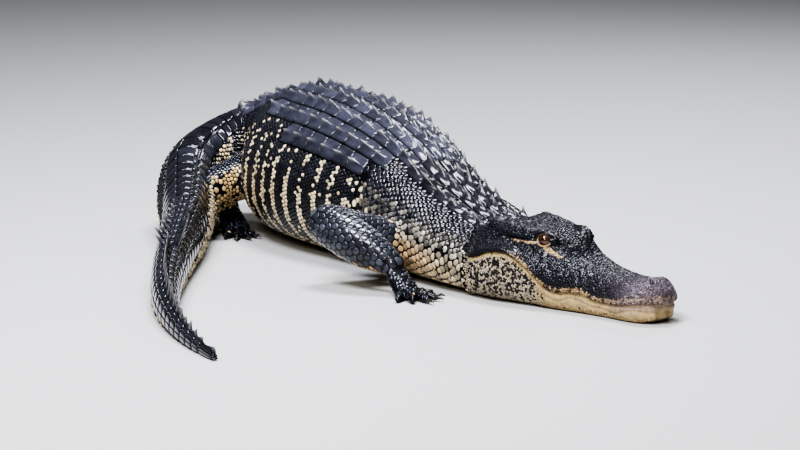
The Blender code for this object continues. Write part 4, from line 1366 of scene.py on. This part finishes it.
def build_plates(name, plates, looks, grid=KEELED):
    """plates: rows of s0, s1, angle0, angle1, rise, keel, peak, lean, bright."""
    long, wide = len(grid[0]), len(grid[1])
    data = np.array(plates, float)
    s0, s1, a0, a1, rise, keel, peak, lean, bright = data.T[:, :, None, None]
    count = len(data)
    u, v = np.meshgrid(*grid, indexing="ij")
    corner = 0.08
    s = (s0 + s1) / 2 + (s1 - s0) / 2 * u * (1 - corner * v ** 4) * np.ones_like(a0)
    around = (a0 + a1) / 2 + (a1 - a0) / 2 * v * (1 - corner * u ** 4) * np.ones_like(s0)
    rim = np.clip(np.minimum((1 - np.abs(u)) / 0.18, (1 - np.abs(v)) / 0.11), 0, 1)
    bevel = np.sqrt(rim * (2 - rim))
    along = (u + 1) / 2
    climb = np.where(along < peak, np.clip((along - 0.10) / (peak - 0.10), 0, 1) ** 1.3,
                     np.clip((1.02 - along) / (1.02 - peak), 0, 1) ** 0.7)
    crest = (0.74 * np.clip(1 - 1.5 * np.abs(v), 0, 1) ** 2.6
             + 0.26 * np.clip(1 - np.abs(v), 0, 1) ** 1.2)
    wobble = 1 + chance.normal(0, 0.10, (count, 1, 1))
    flat_s, flat_a = s.reshape(-1), around.reshape(-1)
    base = body_surface(flat_s, flat_a, -HIDE_UNDER)
    way = body_surface(flat_s, flat_a, 0.01) - base
    way /= np.linalg.norm(way, axis=1, keepdims=True)
    pits = rough(base, 0.006, 3.0).reshape(count, long, wide)
    lines = np.sin(np.abs(v) * 16 + along * 5 + chance.uniform(0, 6, (count, 1, 1)))
    height = (rise * bevel * (1 + 0.10 * pits) + keel * wobble * climb * crest
              + 0.00065 * lines * bevel * (keel > 0.004))
    turn = np.radians(heading(flat_s))
    tailward = -np.stack([np.cos(turn), np.sin(turn), np.zeros(len(turn))], 1)
    hook = (keel * climb * crest * lean).reshape(-1)
    top_side = base + way * height.reshape(-1)[:, None] + tailward * hook[:, None]
    size = long * wide
    top_side = top_side.reshape(count, size, 3)
    i, j = np.meshgrid(np.arange(long - 1), np.arange(wide - 1), indexing="ij")
    a = (i * wide + j).ravel()
    quads = np.stack([a, a + wide, a + wide + 1, a + 1], 1)
    loop = np.concatenate([np.arange(wide), np.arange(1, long) * wide + wide - 1,
                           (long - 1) * wide + np.arange(wide - 2, -1, -1),
                           np.arange(long - 2, 0, -1) * wide])
    sunk = base.reshape(count, size, 3)[:, loop] - 0.0035 * way.reshape(
        count, size, 3)[:, loop]
    points = np.concatenate([top_side, sunk], axis=1)
    points[:, :, 2] = np.maximum(points[:, :, 2], 0.0)
    k = np.arange(len(loop))
    n = (k + 1) % len(loop)
    skirt = np.stack([loop[k], loop[n], size + n, size + k], 1)
    start = np.arange(count)[:, None] * (size + len(loop))
    faces = (start[:, :, None] + quads[None]).reshape(-1, 4).tolist()
    faces += (start[:, :, None] + skirt[None]).reshape(-1, 4).tolist()
    faces += (start + (size + k[::-1])[None]).tolist()

    # Pale crest of the keel: partly wear, partly a painted highlight on the sharp edge.
    wear_and_glint = (np.clip(climb * crest * 1.15, 0, 1) ** 4) * np.clip(keel / 0.006, 0, 1)
    # Plates are painted darker towards their edges, 0.40 against 1.10 inside, a painted
    # shade between the plates; the random factor and the pits are the plate's own tone.
    tone = bright * np.exp(chance.normal(0, 0.22, (count, 1, 1))) * (
        0.40 + 0.70 * bevel + 0.12 * pits)
    colours = mix(tone[..., None] * BLACK, WEAR_AND_GLINT_EDGE, 0.9 * wear_and_glint)
    colours = colours.reshape(count, size, 3)
    # The sunk skirt round each plate is painted at 0.3, a painted shade under its edge.
    colours = np.concatenate([colours, colours[:, loop] * 0.3], axis=1).reshape(-1, 3)
    spot = unrolled(body_surface((data[:, 0] + data[:, 1]) / 2,
                                 (data[:, 2] + data[:, 3]) / 2))
    local = np.stack([u.ravel(), v.ravel()], 1) * PATCH
    local = np.concatenate([local, local[loop] * 1.05])
    flat = (spot[:, None] + local[None]).reshape(-1, 2)
    return joined_mesh(name, points.reshape(-1, 3), faces, colours, flat, looks)


# %% Lay the plates of the nape and the back
nape_keel = curve([(0.42, 0.014), (0.46, 0.023), (0.51, 0.029), (0.56, 0.028),
                   (0.62, 0.020)])
BACK_KEELS = (0.0130, 0.0135, 0.0125, 0.0100)
nape, back = [], []
for start, end, edge in zip(ROWS, ROWS[1:], ROW_EDGE):
    on_nape = NAPE_ROWS[0] < start < NAPE_ROWS[1]
    if start >= TRUNK_ROWS[1] or edge == 0:
        continue
    borders = NAPE_BORDERS if on_nape else PLATE_BORDERS
    for column, (low, high) in enumerate(zip(borders, borders[1:])):
        if high > edge:
            continue
        for side in (-1, 1):
            place_of = (start + 0.0008, end + 0.0014, side * (low + 0.12),
                        side * (high - 0.12))
            if on_nape:
                keel = float(nape_keel(end)) * (1.0, 0.85)[column]
                keel *= chance.uniform(0.55, 1.3)
                nape.append((*place_of, 0.0024, keel, 0.74, 0.55, 1.2))
            else:
                keel = BACK_KEELS[column] * chance.uniform(0.75, 1.3)
                back.append((*place_of, 0.0024, keel, 0.82, 0.25, 2.9))
for side in (-1, 1):
    for low, high, keel in ((3, 17, 0.016), (19, 36, 0.021)):
        nape.append((0.390, 0.417, side * low, side * high, 0.0026, keel, 0.8, 0.4, 1.4))
build_plates("nape_plates", nape, wet_plate)
build_plates("back_plates", back, wet_plate)

# %% Lay the rings of the tail
crest_height = curve([(1.20, 0.0025), (1.64, 0.003), (1.76, 0.009), (1.92, 0.024),
                      (2.10, 0.029), (2.35, 0.024), (2.60, 0.007)])
CREST_FROM, SINGLE_CREST_FROM = 1.68, 1.98
SPLIT_RINGS_UNTIL = 1.34
rings, blades = [], []
for start, end, edge in zip(ROWS, ROWS[1:], ROW_EDGE):
    if start < TRUNK_ROWS[1]:
        continue
    crest = float(crest_height((start + end) / 2))
    double, low_crest = start < SINGLE_CREST_FROM, start < CREST_FROM
    if low_crest:
        borders = [0, 21, edge]
    elif double:
        borders = np.concatenate([[0, 13, 33], np.linspace(33, edge, 3)[1:]])
    else:
        borders = np.concatenate([[13], np.linspace(13, edge, 4)[1:]])
    halves = 2 if start < SPLIT_RINGS_UNTIL else 1
    for part in range(halves):
        s0 = start + (end - start) * part / halves
        s1 = start + (end - start) * (part + 1) / halves
        for low, high in zip(borders, borders[1:]):
            if double and not low_crest and low == 13:
                continue
            for side in ((1,) if low_crest and low == 0 else (-1, 1)):
                first = -high + 0.5 if low_crest and low == 0 else side * (low + 0.5)
                rings.append((s0 + 0.0004, s1 - 0.0004, first, side * (high - 0.5),
                              0.0030, 0.0007, 0.6, 0.0, 1.2))
    if low_crest:
        continue
    for side in ((-1, 1) if double else (1,)):
        low, high = (13.4, 32.6) if double else (-12.6, 12.6)
        blades.append((start + 0.001, end + 0.005, side * low, side * high, 0.0030,
                       crest * chance.uniform(0.88, 1.12), 0.80, 0.35, 1.3))
build_plates("tail_plates", rings, wet_smooth, SMOOTH)
build_plates("tail_blades", blades, wet_plate)

# %% [markdown]
# ## Eyes
# The eye is a wet ball in a tight ring of lids.  Its iris is a dark red-brown with
# fine streaks and an upright slit.  A sphere turned so that its pole is the pupil
# makes a clean round iris, and a flat map laid across the pole carries its pattern.

# %% Make the look of the eye
IRIS_STOPS = ((0.0, (0.026, 0.008, 0.004, 1)), (0.20, (0.042, 0.012, 0.005, 1)),
              (0.34, (0.062, 0.020, 0.008, 1)), (0.405, (0.026, 0.010, 0.006, 1)),
              (0.43, (0.010, 0.007, 0.006, 1)))


def eye_look():
    """Look of the eye: rings of colour, streaks across them and the slit."""
    made, shader = new_look("wet_eye")
    tree, join = made.node_tree, made.node_tree.links.new
    flat = add_node(tree, "UVMap")
    flat.uv_map = "gaze"
    centred = add_math(tree, "SUBTRACT", flat.outputs["UV"])
    centred.inputs[1].default_value = (0.5, 0.5, 0)
    centred = centred.outputs["Vector"]
    radius = add_math(tree, "LENGTH", centred)
    iris = add_node(tree, "ValToRGB", radius.outputs["Value"])
    for number, (spot, tint) in enumerate(IRIS_STOPS):
        stop = (iris.color_ramp.elements[number] if number < 2
                else iris.color_ramp.elements.new(spot))
        stop.position, stop.color = spot, tint
    split = add_node(tree, "SeparateXYZ", centred)
    turned = add_node(tree, "Math", split.outputs["Y"])
    turned.operation = "ARCTAN2"
    join(split.outputs["X"], turned.inputs[1])
    streak_at = add_node(tree, "CombineXYZ", turned.outputs["Value"], "X")
    streaks = add_node(tree, "TexNoise", streak_at.outputs["Vector"], Scale=9, Detail=4)
    strength = add_node(tree, "MapRange", streaks.outputs["Fac"], From_Min=0.3,
                        From_Max=0.7, To_Min=0.45, To_Max=1.5)
    streaked = add_math(tree, "SCALE", iris.outputs["Color"])
    join(strength.outputs["Result"], streaked.inputs["Scale"])
    across = add_math(tree, "MULTIPLY", centred)
    across.inputs[1].default_value = (9.0, 1.0, 0)
    slit = add_math(tree, "LENGTH", across.outputs["Vector"])
    open_part = add_node(tree, "MapRange", slit.outputs["Value"], From_Min=0.25,
                         From_Max=0.33)
    final = add_math(tree, "SCALE", streaked.outputs["Vector"])
    join(open_part.outputs["Result"], final.inputs["Scale"])
    join(final.outputs["Vector"], shader.inputs["Base Color"])
    fill_in(shader, Roughness=0.16, Coat_Weight=1.0, Coat_Roughness=0.03)
    return made


wet_eye = eye_look()

# %% Set the eyes
for side in EYES:
    centre, forward, upward, gaze = eye_frame(side)
    bpy.ops.mesh.primitive_uv_sphere_add(segments=48, ring_count=32, radius=EYE_RADIUS)
    eye = bpy.context.object
    eye.name = "eyeball_" + side
    bpy.ops.object.shade_smooth()
    local = vectors_of(eye.data, "co")
    axes = np.stack([forward, upward, gaze])
    cornea = 1 + 0.05 * ramp(0.80, 1.0, local[:, 2] / EYE_RADIUS)
    set_points(eye.data, (local * cornea[:, None]) @ axes + centre)
    if np.linalg.det(axes) < 0:
        eye.data.flip_normals()
    flat = 0.5 + local[:, :2] / (2 * EYE_RADIUS)
    lay_map(eye.data, "gaze", np.where(local[:, 2:] > 0, flat, 0.99))
    eye.data.materials.append(wet_eye)
    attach(eye, "root")
    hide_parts("eye_" + side)
print("eyes:", len(EYES))

# %% Fold the lids round the eyes
LID_TAN = np.array((0.30, 0.17, 0.075))
LID_CREAM = np.array((0.42, 0.30, 0.14))
LID_SIDES = 72
points, faces, colours = [], [], []
around = np.arange(LID_SIDES) * 2 * math.pi / LID_SIDES
beyond = np.concatenate([[0.0, 1.0, 2.2], np.arange(4.0, 30.5, 1.25)])
for side in EYES:
    centre, forward, upward, gaze = eye_frame(side)
    first = sum(len(p) for p in points)
    lower = ramp(0.25, -0.25, np.sin(around))
    for extra in beyond:
        angle = np.radians(lid_angle(around) + extra)
        height = np.interp(extra, [0, 1.0, 3.0, 8, 16, 22, 30],
                           [0.0002, 0.0011, 0.0018, 0.0024, 0.0030, 0.0026, -0.0020])
        fold = 0.00028 * np.sin(extra * 1.35 + 0.6 * np.sin(around * 3))
        radius = EYE_RADIUS + height + fold * (2 < extra < 24)
        way = (gaze * np.cos(angle)[:, None]
               + (np.outer(np.cos(around), forward)
                  + np.outer(np.sin(around), upward)) * np.sin(angle)[:, None])
        points.append(centre + way * np.reshape(radius * np.ones(LID_SIDES), (-1, 1)))
        tan = max(0.0, 1 - abs(extra - 1.2) / 2.0) * (0.45 + 0.45 * lower)
        cream = lower * np.interp(extra, [0, 4, 9, 17, 24], [1, 0.75, 1.0, 0.8, 0.1])
        tint = mix(np.tile(HEAD_GREY * 0.8, (LID_SIDES, 1)), LID_CREAM, cream)
        tint = mix(tint, LID_TAN, tan)
        # Where a fold bulges out its colour is painted lighter, a painted highlight on the
        # ridges and a painted shade in the troughs.
        colours.append(tint * (0.82 + 0.25 * (fold > 0))[:, None])
    for ring in range(len(beyond) - 1):
        for k in range(LID_SIDES):
            n = (k + 1) % LID_SIDES
            a = first + ring * LID_SIDES
            b = a + LID_SIDES
            quad = [a + k, a + n, b + n, b + k]
            faces.append(quad if side == "left" else quad[::-1])
points, colours = np.concatenate(points), np.concatenate(colours)
lids = joined_mesh("eyelids", points, faces, colours, unrolled(points), wet_skin)

# %% [markdown]
# ## Claws
# The three inner toes of each foot end in a stout curved claw of dark horn.  Each is
# a tapering tube bent down to the floor, with its root sunk in the toe.

# %% Make the horn of the claws
horn, shader = new_look("dark_horn")
tree, join = horn.node_tree, horn.node_tree.links.new
where = add_node(tree, "TexCoord").outputs["Object"]
stretched = add_node(tree, "Mapping", where, Scale=(60, 400, 400))
layers = add_node(tree, "TexNoise", stretched.outputs["Vector"], Scale=1.0,
                  Detail=4).outputs["Fac"]
tint = add_node(tree, "ValToRGB", layers)
tint.color_ramp.elements[0].position = 0.35
tint.color_ramp.elements[0].color = (0.010, 0.008, 0.006, 1)
tint.color_ramp.elements[1].position = 0.70
tint.color_ramp.elements[1].color = (0.060, 0.045, 0.030, 1)
join(tint.outputs["Color"], shader.inputs["Base Color"])
relief = add_node(tree, "Bump", layers, "Height", Distance=0.0003)
join(relief.outputs["Normal"], shader.inputs["Normal"])
fill_in(shader, Roughness=0.28)

# %% Grow the claws
CLAW_SPOTS = (-0.22, 0.0, 0.25, 0.5, 0.75, 0.92)
CLAW_ARCH, CLAW_DROP = 0.0022, 0.0012
for node, (root, way) in claw_roots.items():
    path = []
    for t in CLAW_SPOTS:
        out = max(t, 0)
        bend = CLAW_ARCH * math.sin(math.pi * out) - CLAW_DROP * out ** 2
        path.append(root + way * CLAW_LENGTH * t + Vector((0, 0, bend)))
    widths = [CLAW_RADIUS * w for w in (0.95, 1.05, 0.92, 0.72, 0.46, 0.20)]
    claw = tube(node.replace("claw", "horn"), path, widths, sides=16)
    bpy.ops.object.shade_smooth()
    claw.data.materials.append(horn)
    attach(claw, "root")
    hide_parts(node)
print("claws:", len(claw_roots))
